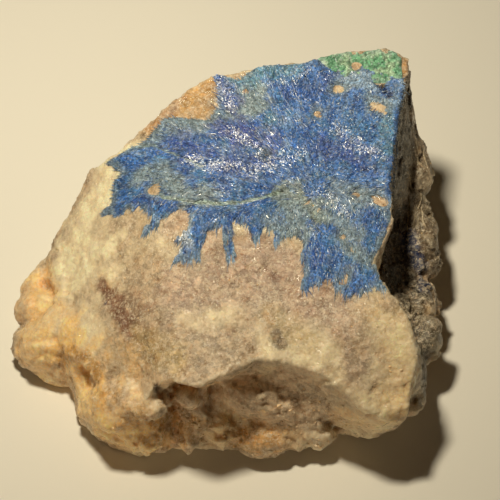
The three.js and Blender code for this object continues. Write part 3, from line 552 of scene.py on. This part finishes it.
class Nodes:
    """A short way to build a material's node tree."""

    def __init__(self, name):
        self.material = bpy.data.materials.new(name)
        self.material.use_nodes = True
        self.tree = self.material.node_tree
        self.shader = self.tree.nodes["Principled BSDF"]

    def add(self, kind, inputs=None, **settings):
        node = self.tree.nodes.new(kind)
        for key, value in settings.items():
            setattr(node, key, value)
        for key, value in (inputs or {}).items():
            self.feed(value, node.inputs[key])
        return node

    def feed(self, value, socket):
        """Links a socket to another, or gives it a number, vector or colour."""
        if isinstance(value, bpy.types.NodeSocket):
            self.tree.links.new(value, socket)
        else:
            socket.default_value = rgba(value) if socket.type == "RGBA" else value

    def set(self, name, value):
        self.feed(value, self.shader.inputs[name])

    def place(self):
        return self.add("ShaderNodeTexCoord").outputs["Object"]

    def tint(self):
        return self.add("ShaderNodeAttribute", attribute_name="tint").outputs["Color"]

    def vector(self, operation, a, b):
        return self.add("ShaderNodeVectorMath", {0: a, 1: b}, operation=operation).outputs[0]

    def math(self, operation, a, b=0.0):
        return self.add("ShaderNodeMath", {0: a, 1: b}, operation=operation).outputs[0]

    def shifted(self, seed):
        """The place moved away by a seed's own distance, so that noise on it is unlike other noise."""
        return self.vector("ADD", self.place(), (seed * 0.013, seed * 0.029, seed * 0.017))

    def noise(self, size, detail, rough, seed=0, output="Fac"):
        """Noise whose bumps are about that many millimetres."""
        return self.add("ShaderNodeTexNoise", {
            "Vector": self.shifted(seed), "Scale": 1 / (size * MM), "Detail": detail,
            "Roughness": rough}).outputs[output]

    def warped(self, seed, amount):
        """The place pushed about by up to that many millimetres."""
        push = self.noise(amount * 1.6, 2.0, 0.5, seed, "Color")
        centred = self.vector("SUBTRACT", push, (0.5, 0.5, 0.5))
        return self.vector("ADD", self.place(), self.vector("MULTIPLY", centred, (amount * 2 * MM,) * 3))

    def cells(self, size, vector=None):
        """Grains of about that many millimetres."""
        return self.add("ShaderNodeTexVoronoi", {
            "Vector": vector or self.place(), "Scale": 1 / (size * MM)})

    def channel(self, colour, number):
        return self.add("ShaderNodeSeparateColor", {0: colour}).outputs[number]

    def cell_value(self, size, number, vector=None):
        """One of a grain's own random numbers from 0 to 1: number 0, 1 or 2."""
        return self.channel(self.cells(size, vector).outputs["Color"], number)

    def patches(self, size, detail, rough, seed, low, high, amount=1.0):
        """Rises from 0 to an amount where noise of its own goes from low to high."""
        return self.span(self.noise(size, detail, rough, seed), low, high, 0.0, amount)

    def span(self, value, low, high, to_low=0.0, to_high=1.0):
        """Turns low..high into to_low..to_high, and holds it there beyond."""
        return self.add("ShaderNodeMapRange", {
            "Value": value, "From Min": low, "From Max": high, "To Min": to_low, "To Max": to_high,
        }).outputs["Result"]

    def mix(self, amount, a, b, blend="MIX"):
        node = self.add("ShaderNodeMix", data_type="RGBA", blend_type=blend)
        self.feed(amount, node.inputs[0])
        self.feed(a, node.inputs[6])
        self.feed(b, node.inputs[7])
        return node.outputs[2]

    def times(self, colour, factor):
        return self.mix(1.0, colour, factor, "MULTIPLY")

    def varied(self, colour, value, low, high, amount=1.0):
        """A colour made darker or lighter by low to high as the value goes from 0 to 1."""
        factor = self.span(value, 0.0, 1.0, low, high)
        grey = self.add("ShaderNodeCombineColor", {0: factor, 1: factor, 2: factor}).outputs[0]
        return self.mix(amount, colour, grey, "MULTIPLY")

    def bump(self, height, distance, normal=None):
        """Bump of that many millimetres for a height from 0 to 1, on top of another bump."""
        node = self.add("ShaderNodeBump", {"Height": height, "Distance": distance * MM, "Strength": 1.0})
        if normal is not None:
            self.feed(normal, node.inputs["Normal"])
        return node.outputs["Normal"]

    def facet_height(self, size):
        """Height in grain sizes of flat planes, one to a grain, each tilted its own way."""
        cell = self.cells(size)
        place = self.vector("SUBTRACT", self.place(), cell.outputs["Position"])
        tilt = self.vector("SUBTRACT", cell.outputs["Color"], (0.5, 0.5, 0.5))
        lean = self.add("ShaderNodeVectorMath", {0: place, 1: tilt}, operation="DOT_PRODUCT")
        return self.math("DIVIDE", lean.outputs["Value"], size * MM)


def rgba(colour):
    return (*colour, 1.0)


def quartz_material(name, block):
    """Milky quartz: clouds, angular flecks, pale healed cracks, and iron film low in the block's relief."""
    n = Nodes(name)
    colour = n.tint()
    paleness = n.channel(colour, 1)
    flecked = n.span(paleness, 0.38, 0.62, 1.0, 0.4)
    light, brown = n.times(colour, MILKY), n.times(colour, BROWNED)
    colour = n.mix(n.patches(3.4, 3.0, 0.5, 31, 0.45, 0.62, 0.7), colour, light)
    clouds = n.patches(2.2, 5.0, 0.7, 0, 0.50, 0.66, 0.9)
    colour = n.mix(n.math("MULTIPLY", clouds, flecked), colour, brown)
    # Angular flecks: the value of the nearest grain, pushed about by noise so that no grain is round.
    for size, seed, low, high in ((1.2, 5, 0.78, 1.22), (0.6, 9, 0.82, 1.18), (0.34, 13, 0.86, 1.14)):
        value = n.cell_value(size, 0, n.warped(seed, 0.5 * size))
        colour = n.varied(colour, value, low, high, flecked)
    pale = n.mix(0.62, colour, PALE_FLECK)
    colour = n.mix(n.patches(1.0, 4.0, 0.72, 19, 0.54, 0.61, 0.8), colour, pale)
    rusty = n.mix(0.55, colour, RUST)
    rust = n.patches(0.75, 4.0, 0.72, 23, 0.59, 0.68, 0.8)
    colour = n.mix(n.math("MULTIPLY", rust, flecked), colour, rusty)
    colour = n.mix(n.patches(0.42, 3.0, 0.7, 29, 0.57, 0.63, 0.6), colour, WHITE_QUARTZ)
    # Healed cracks: thin lines where noise crosses its middle value, here and there.
    for size, seed, amount in ((2.6, 3, 0.7), (1.3, 11, 0.6), (0.8, 17, 0.5)):
        ridge = n.math("ABSOLUTE", n.math("SUBTRACT", n.noise(size, 4.0, 0.6, seed), 0.5))
        here = n.patches(4.0, 2.0, 0.5, seed + 40, 0.46, 0.56)
        thread = n.math("MULTIPLY", n.span(ridge, 0.0, 0.014, amount, 0.0), here)
        colour = n.mix(thread, colour, PALE_THREAD)
    if block:
        pointed = n.add("ShaderNodeNewGeometry").outputs["Pointiness"]
        colour = n.mix(n.span(pointed, 0.495, 0.43, 0.0, 0.55), colour, n.times(colour, FILMED))
        colour = n.mix(n.span(pointed, 0.515, 0.58, 0.0, 0.45), colour, WHITE_QUARTZ)
        n.set("Subsurface Weight", n.span(paleness, 0.36, 0.66, 0.3, 0.55))
        n.set("Subsurface Radius", (1.0, 0.86, 0.66))
        n.set("Subsurface Scale", 1.0 * MM)
    n.set("Base Color", colour)
    n.set("Roughness", n.span(n.cell_value(0.6, 1), 0.60, 0.92, 0.46, 0.10))
    n.set("IOR", QUARTZ_IOR)
    depth = 1.0 if block else 0.3
    height = n.bump(n.facet_height(0.7), 0.17 * depth)
    height = n.bump(n.noise(1.4, 5.0, 0.6), 0.36 * depth, height)
    n.set("Normal", n.bump(n.noise(0.4, 4.0, 0.7), 0.09 * depth, height))
    return n.material


def crust_material(name, rough, rough_spread, ior, bump):
    """A crystal crust: its own colours varied from grain to grain, with small facets in the bump."""
    n = Nodes(name)
    colour = n.tint()
    for size in (0.42, 0.24):
        colour = n.varied(colour, n.cell_value(size, 0), 0.66, 1.36)
    colour = n.mix(n.span(n.cell_value(0.24, 1), 0.91, 0.95, 0.0, 0.45), colour, FROST)
    shade = n.patches(0.8, 4.0, 0.7, 0, 0.5, 0.75, 0.4)
    n.set("Base Color", n.mix(shade, colour, n.times(colour, SHADED)))
    n.set("Roughness", n.span(n.cell_value(0.42, 1), 0.0, 1.0, rough - rough_spread, rough + rough_spread))
    n.set("IOR", ior)
    height = n.bump(n.facet_height(0.4), bump)
    n.set("Normal", n.bump(n.noise(0.22, 3.0, 0.7), bump * 0.4, height))
    return n.material


def floor_material():
    n = Nodes("floor")
    n.set("Base Color", FLOOR_COLOUR)
    n.set("Roughness", 0.8)
    n.set("Specular IOR Level", 0.2)
    return n.material


# ------ camera, light and floor

def add_camera():
    data = bpy.data.cameras.new("camera")
    data.lens = CAMERA_LENS
    data.sensor_width = CAMERA_SENSOR
    data.clip_start = 0.01
    camera = new_object("camera", data)
    target = Vector(CAMERA_TARGET) * MM
    back = Vector((0, -math.cos(CAMERA_ELEVATION), math.sin(CAMERA_ELEVATION)))
    camera.location = target + back * CAMERA_DISTANCE * MM
    camera.rotation_euler = (-back).to_track_quat("-Z", "Y").to_euler()
    bpy.context.scene.camera = camera


def add_lamp(name, towards, distance, width, irradiance, colour):
    """A round lamp that shines on the specimen from that direction."""
    light = bpy.data.lights.new(name, "AREA")
    light.shape = "DISK"
    light.size = width * MM
    light.energy = irradiance * math.pi * (distance * MM) ** 2
    light.color = colour
    lamp = new_object(name, light)
    lamp.location = (Vector(CAMERA_TARGET) + Vector(towards).normalized() * distance) * MM
    lamp.rotation_euler = (Vector(LIT_PLACE) * MM - lamp.location).to_track_quat("-Z", "Y").to_euler()
    lamp.visible_camera = False


def add_light():
    for lamp in LAMPS:
        add_lamp(*lamp)
    world = bpy.data.worlds.new("fill")
    world.use_nodes = True
    background = world.node_tree.nodes["Background"]
    background.inputs["Color"].default_value = rgba(FILL_COLOUR)
    background.inputs["Strength"].default_value = FILL_STRENGTH
    bpy.context.scene.world = world


def add_floor():
    corners = np.array([(-1, -1, 0), (1, -1, 0), (1, 1, 0), (-1, 1, 0)]) * FLOOR_HALF
    mesh = bpy.data.meshes.new("floor")
    mesh.from_pydata(((corners - (0, 0, FLOOR_DROP)) * MM).tolist(), [], [(0, 1, 2, 3)])
    mesh.materials.append(floor_material())
    floor = new_object("floor", mesh)


# ------ quartz

def on_upper_face(points, normals):
    """1 on the tilted upper face, 0 on the sides and in the hollow."""
    bend = UPPER_BEND * np.maximum(UPPER_BEND_FROM - points[:, 0], 0) ** 2
    sheet = UPPER_HEIGHT + UPPER_SLOPE * points[:, 1] - bend
    return smooth(-3.5, -1.2, points[:, 2] - sheet) * smooth(0.55, 0.8, normals[:, 2])


def relief(points, upper):
    """How far the broken quartz stands out from the CAD solid at each place."""
    side = 1 - upper
    rugged = (0.3 + 0.7 * side) * strongest(points, RUGGED, WIDE_BORDER)
    # Tilted planes, each as its height, size and seed.
    planes = ((0.14 * rugged, 5.0, 6), (0.13 * side + 0.03 * rugged, 3.0, 1), (0.10 * side, 1.3, 2),
              (0.05, 0.9, 3))
    height = sum(tall * facets(points, size, seed) for tall, size, seed in planes)
    columns = side * smooth(-4.0, -9.0, points[:, 0]) * smooth(-8.0, -14.0, points[:, 1])
    height += 0.16 * columns * facets(points * (1.0, 1.0, 0.3), 1.4, 7)
    height += 0.05 * fractal(points, 1.8, 2, 4) + side * 0.06 * fractal(points, 3.0, 3, 5)
    ragged = 0.35 * fractal(points, 1.6, 2, 11)
    for rise, width, path in FORMS:
        height += rise * smooth(1.15, 0.0, path_distance(points, path) / width + ragged)
    return height * smooth(0.0, REST_BAND, points[:, 2])


def quartz_colours(points, normals):
    """Tan, cream and honey quartz, with the stains of the table on it, and the painted shade on its right
    side.
    """
    upper = on_upper_face(points, normals)
    colours = layered(TAN, (
        (CREAM, 0.7, -0.1, 0.8, fractal(points, 7.0, 3, 21)),
        (HONEY, 0.6 * (1 - upper), 0.0, 0.8, fractal(points, 9.0, 3, 31)),
        (GREY_QUARTZ, 0.6 * (1 - upper), 0.1, 0.8, fractal(points, 6.0, 3, 41))))
    colours = stained(colours, points, STAINS, fractal(points, 2.2, 4, 51), (1.15, 0.35))
    return mixed(colours, WINDOW_TAN, 0.4 * smooth(0.5, -0.2, window_gap(points[:, :2])) * upper)


def build_quartz():
    """The block: the CAD solid with finer, broken relief and its colours."""
    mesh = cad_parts["quartz_matrix"].data.copy()
    mesh.materials.clear()
    edit(mesh, lambda work: bmesh.ops.remove_doubles(work, verts=work.verts, dist=WELD * MM))
    piece = new_object("quartz_block", mesh)
    remesh = piece.modifiers.new("remesh", "REMESH")
    remesh.mode = "VOXEL"
    remesh.voxel_size = VOXEL * MM * 1.0
    rounding = piece.modifiers.new("rounding", "SMOOTH")
    rounding.factor = 0.5
    rounding.iterations = 4
    bpy.context.view_layer.update()
    seen = piece.evaluated_get(bpy.context.evaluated_depsgraph_get())
    finished = bpy.data.meshes.new_from_object(seen)
    piece.modifiers.clear()
    piece.data = finished
    points = read(finished.vertices, "co") / MM
    normals = read(finished.vertices, "normal")
    points += normals * relief(points, on_upper_face(points, normals))[:, None]
    points[:, 2] = np.maximum(points[:, 2], 0)
    finished.vertices.foreach_set("co", (points * MM).astype(np.float32).ravel())
    finished.update()
    paint(finished, quartz_colours(points, read(finished.vertices, "normal")))
    finished.materials.append(quartz_material("quartz", True))
    finished.shade_smooth()
    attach(piece, "root")
    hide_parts("quartz_matrix")
    return piece


def angular_grains(quartz, count, sizes, weight, rng):
    """Angular grains half sunk in the block: vertices, triangles and colours."""
    middles = read(quartz.data.polygons, "center") / MM
    normals = read(quartz.data.polygons, "normal")
    chance = weight(middles, on_upper_face(middles, normals)) * smooth(*GRAIN_BAND, middles[:, 2])
    chosen = rng.choice(len(middles), count, replace=False, p=chance / chance.sum())
    at, out = middles[chosen], normals[chosen]
    ball = bmesh.new()
    bmesh.ops.create_icosphere(ball, subdivisions=1, radius=1.0)
    corners = np.array([v.co[:] for v in ball.verts])
    faces = np.array([[v.index for v in face.verts] for face in ball.faces])
    ball.free()
    typical, least, greatest = sizes
    size = np.clip(rng.lognormal(math.log(typical), 0.35, count), least, greatest)
    shape = rng.uniform(0.72, 1.2, (count, len(corners), 1)) * corners
    stretch = np.column_stack([rng.uniform(low, high, count) for low, high in GRAIN_STRETCH])
    shape *= stretch[:, None, :]
    # Each grain is turned its own way by a quaternion of even chance.
    turn = unit(rng.normal(0, 1, (count, 4)))
    real, axis = turn[:, None, :1], turn[:, None, 1:]
    shape += 2 * np.cross(axis, np.cross(axis, shape) + real * shape)
    points = shape * (size / 2)[:, None, None] + (at - out * (size * GRAIN_SUNK)[:, None])[:, None, :]
    points[:, :, 2] = np.maximum(points[:, :, 2], 0)
    colours = quartz_colours(at, out) * rng.uniform(0.86, 1.16, count)[:, None]
    for colour, share in ((WHITE_QUARTZ, 0.2), (HONEY, 0.15)):
        colours = mixed(colours, colour, (rng.random(count) < share) * 0.5)
    triangles = (faces[None] + len(corners) * np.arange(count)[:, None, None]).reshape(-1, 3)
    return points.reshape(-1, 3), triangles, np.repeat(colours, len(corners), axis=0)


def build_grains(quartz):
    """Sugary grains of quartz: coarse on the broken sides, fine on the upper face."""
    def broken(points, upper):
        clumps = smooth(-0.3, 0.5, fractal(points, 3.0, 2, 15))
        return (0.04 + strongest(points, GRAINY, WIDE_BORDER)) * (0.15 + clumps) * (1.02 - upper)

    def fine(points, upper):
        clumps = smooth(-0.4, 0.6, fractal(points, 2.0, 2, 16))
        return (0.25 + clumps) * (0.4 + 0.6 * upper)

    material = quartz_material("quartz_grain", False)
    # Name, count, sizes (typical, least and greatest), where they lie, and seed.
    for name, count, sizes, weight, seed in (
            ("quartz_grains", 800, (0.55, 0.3, 1.2), broken, 11),
            ("quartz_sugar", 2500, (0.32, 0.2, 0.55), fine, 12)):
        built = angular_grains(quartz, count, sizes, weight, np.random.default_rng(seed))
        new_piece(name, *built, material, "quartz")


def build_threads(quartz):
    """Three-sided blades laid on the block along the paths of the table."""
    tree = BVHTree.FromObject(quartz, bpy.context.evaluated_depsgraph_get())
    points, faces = [], []
    for width, path in THREADS:
        path = np.array(path, float)
        reach = np.concatenate([[0], np.cumsum(lengths(np.diff(path, axis=0)))])
        steps = np.linspace(0, reach[-1], max(4, int(reach[-1] / THREAD_STEP)))
        line = np.column_stack([np.interp(steps, reach, path[:, k]) for k in range(3)])
        line += 0.3 * np.column_stack([noise(line, 1.7, 101 + k) for k in range(3)])
        start, last = len(points), len(line) - 1
        for number, at in enumerate(line):
            hit, out, _, _ = tree.find_nearest(Vector(at * MM))
            ahead = Vector(line[min(number + 1, last)] - line[max(number - 1, 0)]).normalized()
            across = ahead.cross(out).normalized()
            taper = 0.35 + 0.65 * math.sin(math.pi * (number + 0.6) / (len(line) + 0.2))
            half = 0.5 * width * taper
            low = hit / MM - out * THREAD_SUNK
            points += [low + across * half, low - across * half, hit / MM + out * half * 1.3]
        for number in range(last):
            a, b = start + 3 * number, start + 3 * number + 3
            for k in range(3):
                j = (k + 1) % 3
                faces += [(a + k, b + k, b + j), (a + k, b + j, a + j)]
        end = start + 3 * last
        faces += [(start, start + 1, start + 2), (end, end + 2, end + 1)]
    threads = new_piece("quartz_threads", points, faces, np.tile(THREAD_TINT, (len(points), 1)),
                        quartz_material("quartz_thread", False), "quartz")
    edit(threads.data, lambda work: bmesh.ops.recalc_face_normals(work, faces=work.faces))


# ------ crusts

class Ground:
    """The quartz surface under a plan grid, found by looking straight down on it."""

    def __init__(self, piece, low, high, step):
        self.low, self.high, self.step = np.array(low), np.array(high), step
        self.shape = tuple(np.round((self.high - self.low) / step).astype(int) + 1)
        tree = BVHTree.FromObject(piece, bpy.context.evaluated_depsgraph_get())
        cells = np.indices(self.shape).reshape(2, -1)
        self.plan = cells.T * step + self.low
        heights = []
        for x, y in self.plan:
            hit = tree.ray_cast(Vector((x * MM, y * MM, LOOK_FROM * MM)), Vector((0, 0, -1)))[0]
            heights.append(hit.z / MM if hit else 0.0)
        self.height = np.array(heights)

    def sample(self, values, places):
        """Values of the grid at any places in plan."""
        at = (places - self.low) / self.step
        cell = np.clip(np.floor(at).astype(int), 0, np.array(self.shape) - 2)
        part = np.clip(at - cell, 0, 1)
        table = values.reshape(self.shape)
        total = 0
        for i, j in itertools.product((0, 1), repeat=2):
            weight = np.abs(1 - i - part[:, 0]) * np.abs(1 - j - part[:, 1])
            total = total + weight * table[cell[:, 0] + i, cell[:, 1] + j]
        return total


def new_crust(name, ground, thickness, colour_at, material, slot):
    """A closed crust: a top that dips under the quartz where it ends, and an underside."""
    number = np.arange(len(ground.plan)).reshape(ground.shape)
    corners = np.stack([number[:-1, :-1], number[1:, :-1], number[1:, 1:], number[:-1, 1:]], axis=-1)
    corners = corners.reshape(-1, 4)
    heights, thick = ground.height[corners], thickness[corners]
    kept = (thick > -CRUST_DIP).all(axis=1) & (thick > 0).any(axis=1)
    kept &= (np.ptp(heights, axis=1) < CRUST_STEP_UP) & (heights.min(axis=1) > SURFACE_LOW)
    used, tops = np.unique(corners[kept], return_inverse=True)
    tops = tops.reshape(-1, 4)
    plan, height = ground.plan[used], ground.height[used]
    top = np.column_stack([plan, height + thickness[used]])
    bottom = np.column_stack([plan, height - CRUST_SUNK])
    # An edge that no neighbour walks the other way is on the rim, and has a wall under it.
    edges = dict.fromkeys((a, b) for face in tops.tolist() for a, b in zip(face, face[1:] + face[:1]))
    count = len(used)
    walls = [(b, a, a + count, b + count) for a, b in edges if (b, a) not in edges]
    faces = np.vstack([tops, tops[:, ::-1] + count, walls])
    return new_piece(name, np.vstack([top, bottom]), faces, np.tile(colour_at(plan), (2, 1)), material, slot)


def below_vein(places, low, high):
    """1 well in front of the pale vein, 0 behind it."""
    vein = np.array(VEIN)
    return smooth(low, high, np.interp(places[:, 0], vein[:, 0], vein[:, 1]) - places[:, 1])


def blade_direction(places):
    """Which way the blades point in plan: out from the fan's centre, and forwards below the vein."""
    away = unit(places - FAN_CENTRE, 0.5)
    forward = unit(np.column_stack([np.minimum(places[:, 0], 1.0) / 16.0, np.full(len(places), -1.0)]))
    below = below_vein(places, -0.5, 3.5)[:, None]
    return unit(away * (1 - below) + forward * below)


def streaks(places, size, seed):
    """Noise from -1 to 1 in long streaks along the blades, first in the fan and then below the vein."""
    x, y = places.T
    away = places - FAN_CENTRE
    angle = np.arctan2(away[:, 1], away[:, 0])
    fan = np.column_stack([angle * 9.0, lengths(away) * 0.16, np.zeros(len(places))])
    comb = np.column_stack([x - y * x / 40, y * 0.16, np.full(len(places), 7.0)])
    below = below_vein(places, 0.5, 2.5)
    return noise(fan, size, seed) * (1 - below) + noise(comb, size, seed + 1) * below


def window_reach(plan, window):
    """Each place's distance from the middle of a window, as a share of the window's own reach that way."""
    (x, y), (wide, deep), turn = window
    c, s = math.cos(math.radians(turn)), math.sin(math.radians(turn))
    dx, dy = plan[:, 0] - x, plan[:, 1] - y
    return np.hypot((dx * c + dy * s) / wide, (dy * c - dx * s) / deep)


def window_gap(plan):
    """How far outside the nearest window each place is; it is negative inside one."""
    ragged = 0.4 * fractal(flat(plan), 1.1, 3, 63)
    return np.min([(window_reach(plan, window) - 1 + ragged) * min(window[1]) for window in WINDOWS], axis=0)


def linarite_thickness(plan):
    """Thickness of the linarite at each place in plan; it is negative where there is none."""
    feather = 0.75 * streaks(plan, 0.55, 61) + 0.35 * noise(flat(plan), 0.6, 62)
    loose = smooth(9.0, 3.0, plan[:, 1] + 0.35 * plan[:, 0]) * 0.75 + 0.25
    thickness = (inside_depth(plan, LINARITE_EDGE) + feather * loose) * 0.55
    thickness = np.minimum(thickness, window_gap(plan) * 0.7)
    full = 0.34 + 0.12 * fractal(flat(plan), 2.6, 3, 64) + 0.10 * streaks(plan, 0.5, 65)
    full += 0.10 * facets(flat(plan), 0.9, 66)
    full -= 0.16 * np.maximum(near(plan, VEIN, 0.5), near(plan, SECOND_VEIN, 0.45))
    for colour, strength, width, path in BLUE_SHADES:
        if colour in THIN_SHADES:
            full -= 0.11 * strength * near(plan, path, width)
    full -= 1.1 * near(plan, DARK_PIT, 1.1)
    return np.clip(np.minimum(thickness, full), -0.4, 1.0)


def linarite_colours(plan):
    """Deep to mid blue in streaks, with the pale, teal and violet parts of the table."""
    colours = layered(BLUE, (
        (DEEP_BLUE, 0.75, 0.0, 0.8, fractal(flat(plan), 3.2, 3, 71)),
        (MID_BLUE, 0.7, 0.0, 0.7, streaks(plan, 0.7, 72)),
        (TEAL, 0.4, 0.0, 0.8, fractal(flat(plan), 1.7, 3, 75)),
        (NAVY, 0.55, 0.15, 0.8, streaks(plan, 0.45, 76)),
        (PALE_BLUE, 0.55, 0.25, 0.8, streaks(plan, 0.5, 78))))
    ragged = fractal(flat(plan), 1.5, 4, 73) + 0.5 * streaks(plan, 0.5, 74)
    colours = stained(colours, plan, BLUE_SHADES, ragged, (1.2, 0.45))
    pale = np.maximum(near(plan, VEIN, 0.42), 0.75 * near(plan, SECOND_VEIN, 0.36))
    colours = mixed(colours, VEIN_PALE, pale * 0.95)
    edge = smooth(1.0, 0.0, inside_depth(plan, LINARITE_EDGE) + 0.4 * ragged)
    edge = np.maximum(edge, smooth(1.3, 0.0, window_gap(plan)))
    return mixed(colours, SAGE, edge * 0.75)


def blade_tails(ground, thickness, rng):
    """Places in plan on the crust where the blades start, fewer of them in its pale parts."""
    tries = rng.uniform(ground.low, ground.high, (BLADE_COUNT * 4, 2))
    pale = strongest(tries, [shade[1:] for shade in BLUE_SHADES if shade[0] in PALE_SHADES])
    keep = (ground.sample(thickness, tries) > 0.03) & (rng.random(len(tries)) > pale * 0.7)
    keep &= ground.sample(ground.height, tries) > SURFACE_LOW
    return tries[keep][:BLADE_COUNT]


def blade_headings(tail, right_side, rng):
    """The blades' directions in plan, which are wilder on the right side and round the fan's centre."""
    swing = rng.normal(0, 0.22, len(tail)) + 0.45 * noise(flat(tail), 2.0, 81)
    swing += rng.normal(0, 0.8, len(tail)) * right_side
    swing += rng.normal(0, 0.9, len(tail)) * smooth(6.0, 1.0, lengths(tail - FAN_CENTRE))
    x, y = blade_direction(tail).T
    c, s = np.cos(swing), np.sin(swing)
    return np.column_stack([x * c - y * s, x * s + y * c])


def blade_colours(tail, rng):
    """The crust's colours, darker or lighter from blade to blade, with some blades frosty or another blue."""
    colours = linarite_colours(tail) * rng.uniform(0.6, 1.4, len(tail))[:, None]
    deep = 1 - smooth(0.14, 0.24, colours[:, 0])
    for colour, share, amount in (
            (MID_BLUE, 0.25, 0.6 * deep), (DEEP_BLUE, 0.2, 0.6 * deep),
            (FROST, near(tail, FROSTY, 1.6) * 0.5 + 0.03, 0.7)):
        colours = mixed(colours, colour, (rng.random(len(tail)) < share) * amount)
    return colours


def blades(ground, thickness, typical_length, typical_width, rng):
    """Slender three-sided blades lying on the crust: vertices, triangles and colours."""
    surface = ground.height + np.maximum(thickness, 0)
    tail = blade_tails(ground, thickness, rng)
    total = len(tail)
    right_side = smooth(8.0, 16.0, tail[:, 0]) * smooth(4.0, 8.0, tail[:, 1])
    heading = blade_headings(tail, right_side, rng)
    across = np.column_stack([-heading[:, 1], heading[:, 0]])
    length = np.clip(rng.lognormal(math.log(typical_length), 0.45, total), *BLADE_LENGTHS)
    length *= 1 - 0.4 * right_side
    width = np.clip(rng.lognormal(math.log(typical_width), 0.35, total), *BLADE_WIDTHS)
    rise = width * rng.uniform(0.1, 0.45, total)
    low = ground.sample(surface, tail)
    over_edge = ground.sample(surface, tail + heading * length[:, None]) < low - EDGE_DROP
    length = np.where(over_edge, EDGE_LENGTH, length)
    slope = (ground.sample(surface, tail + heading * length[:, None]) - low) / length
    slope = np.clip(slope, -0.6, 0.6) + rng.normal(0.0, 0.04, total)
    roll = rng.normal(0.0, 0.10, total)
    # Those that glint are short and broad, and stand proud at the slope of their row.
    lean = BRIGHT_LEAN + rng.normal(0, 0.04, (total, 2))
    lean[:, 0] += BRIGHT_CURVE * tail[:, 0]
    lit = rng.random(total) < strongest(tail, BRIGHT_ROWS) * LIT_SHARE
    length = np.where(lit, np.minimum(length, LIT_LENGTH), length)
    width = np.where(lit, np.maximum(width, LIT_WIDTH), width)
    slope = np.where(lit, -(heading * lean).sum(axis=1), slope)
    roll = np.where(lit, -(across * lean).sum(axis=1), roll)
    rise = np.where(lit, width * 0.04, rise)
    low = low + 0.03 + np.where(lit, LIT_PROUD, 0.0)
    shapes = []
    for ahead, aside, up in BLADE_CORNERS:
        at = tail + heading * (ahead * length)[:, None] + across * (aside * width)[:, None]
        shapes.append(np.column_stack([at, low + slope * ahead * length + roll * aside * width + up * rise]))
    points = np.stack(shapes, axis=1).reshape(-1, 3)
    faces = (np.array(BLADE_FACES) + len(BLADE_CORNERS) * np.arange(total)[:, None, None]).reshape(-1, 3)
    return points, faces, np.repeat(blade_colours(tail, rng), len(BLADE_CORNERS), axis=0)


def build_linarite(quartz):
    """The blue crust: a sheet, and two layers of blades that lie on it."""
    ground = Ground(quartz, *LINARITE_GRID)
    thickness = linarite_thickness(ground.plan)
    crust = new_crust("linarite_sheet", ground, thickness, linarite_colours,
                      crust_material("linarite", 0.46, 0.16, LINARITE_IOR, 0.16), "linarite")
    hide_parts("linarite_crust")
    material = crust_material("linarite_blade", 0.36, 0.16, LINARITE_IOR, 0.03)
    for name, length, width, seed in (("linarite_blades", 0.85, 0.17, 5), ("linarite_needles", 0.5, 0.12, 6)):
        built = blades(ground, thickness, length, width, np.random.default_rng(seed))
        new_piece(name, *built, material, "linarite")


def malachite_colours(plan):
    """Green with mint and deep green patches, and a frosty edge."""
    return layered(GREEN, (
        (MINT, 0.85, -0.2, 0.6, fractal(flat(plan), 1.3, 3, 96)),
        (DEEP_GREEN, 0.6, 0.2, 0.8, fractal(flat(plan), 0.9, 2, 97)),
        (FROST, 0.25, 1.2, 0.2, inside_depth(plan, MALACHITE_EDGE))))


def build_malachite(quartz):
    """The green patch: a crust of small round knobs."""
    ground = Ground(quartz, *MALACHITE_GRID)
    plan = flat(ground.plan)
    knobs = 0.22 + 0.18 * fractal(plan, 2.2, 2, 93)
    for tall, spacing, radius, seed in ((0.3, 0.75, 0.45, 92), (0.12, 0.38, 0.24, 94)):
        far = ((plan - grains(plan, spacing, seed)) ** 2).sum(axis=1) / radius ** 2
        knobs += tall * np.sqrt(np.clip(1 - far, 0, 1))
    depth = inside_depth(ground.plan, MALACHITE_EDGE) + 0.5 * fractal(plan, 1.2, 3, 91)
    gap = window_reach(plan, MALACHITE_WINDOW) - 1 + 0.3 * fractal(plan, 1.0, 3, 95)
    thickness = np.clip(np.minimum(np.minimum(depth, gap) * 0.6, knobs), -0.4, 1.2)
    crust = new_crust("malachite_knobs", ground, thickness, malachite_colours,
                      crust_material("malachite", 0.55, 0.15, MALACHITE_IOR, 0.08), "malachite")
    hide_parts("malachite_crust")


# ------ the scene

add_camera()
add_light()
add_floor()
bpy.context.scene.view_settings.view_transform = "Standard"
quartz_block = build_quartz()
bpy.context.view_layer.update()
build_grains(quartz_block)
build_threads(quartz_block)
build_linarite(quartz_block)
build_malachite(quartz_block)
bpy.context.view_layer.update()
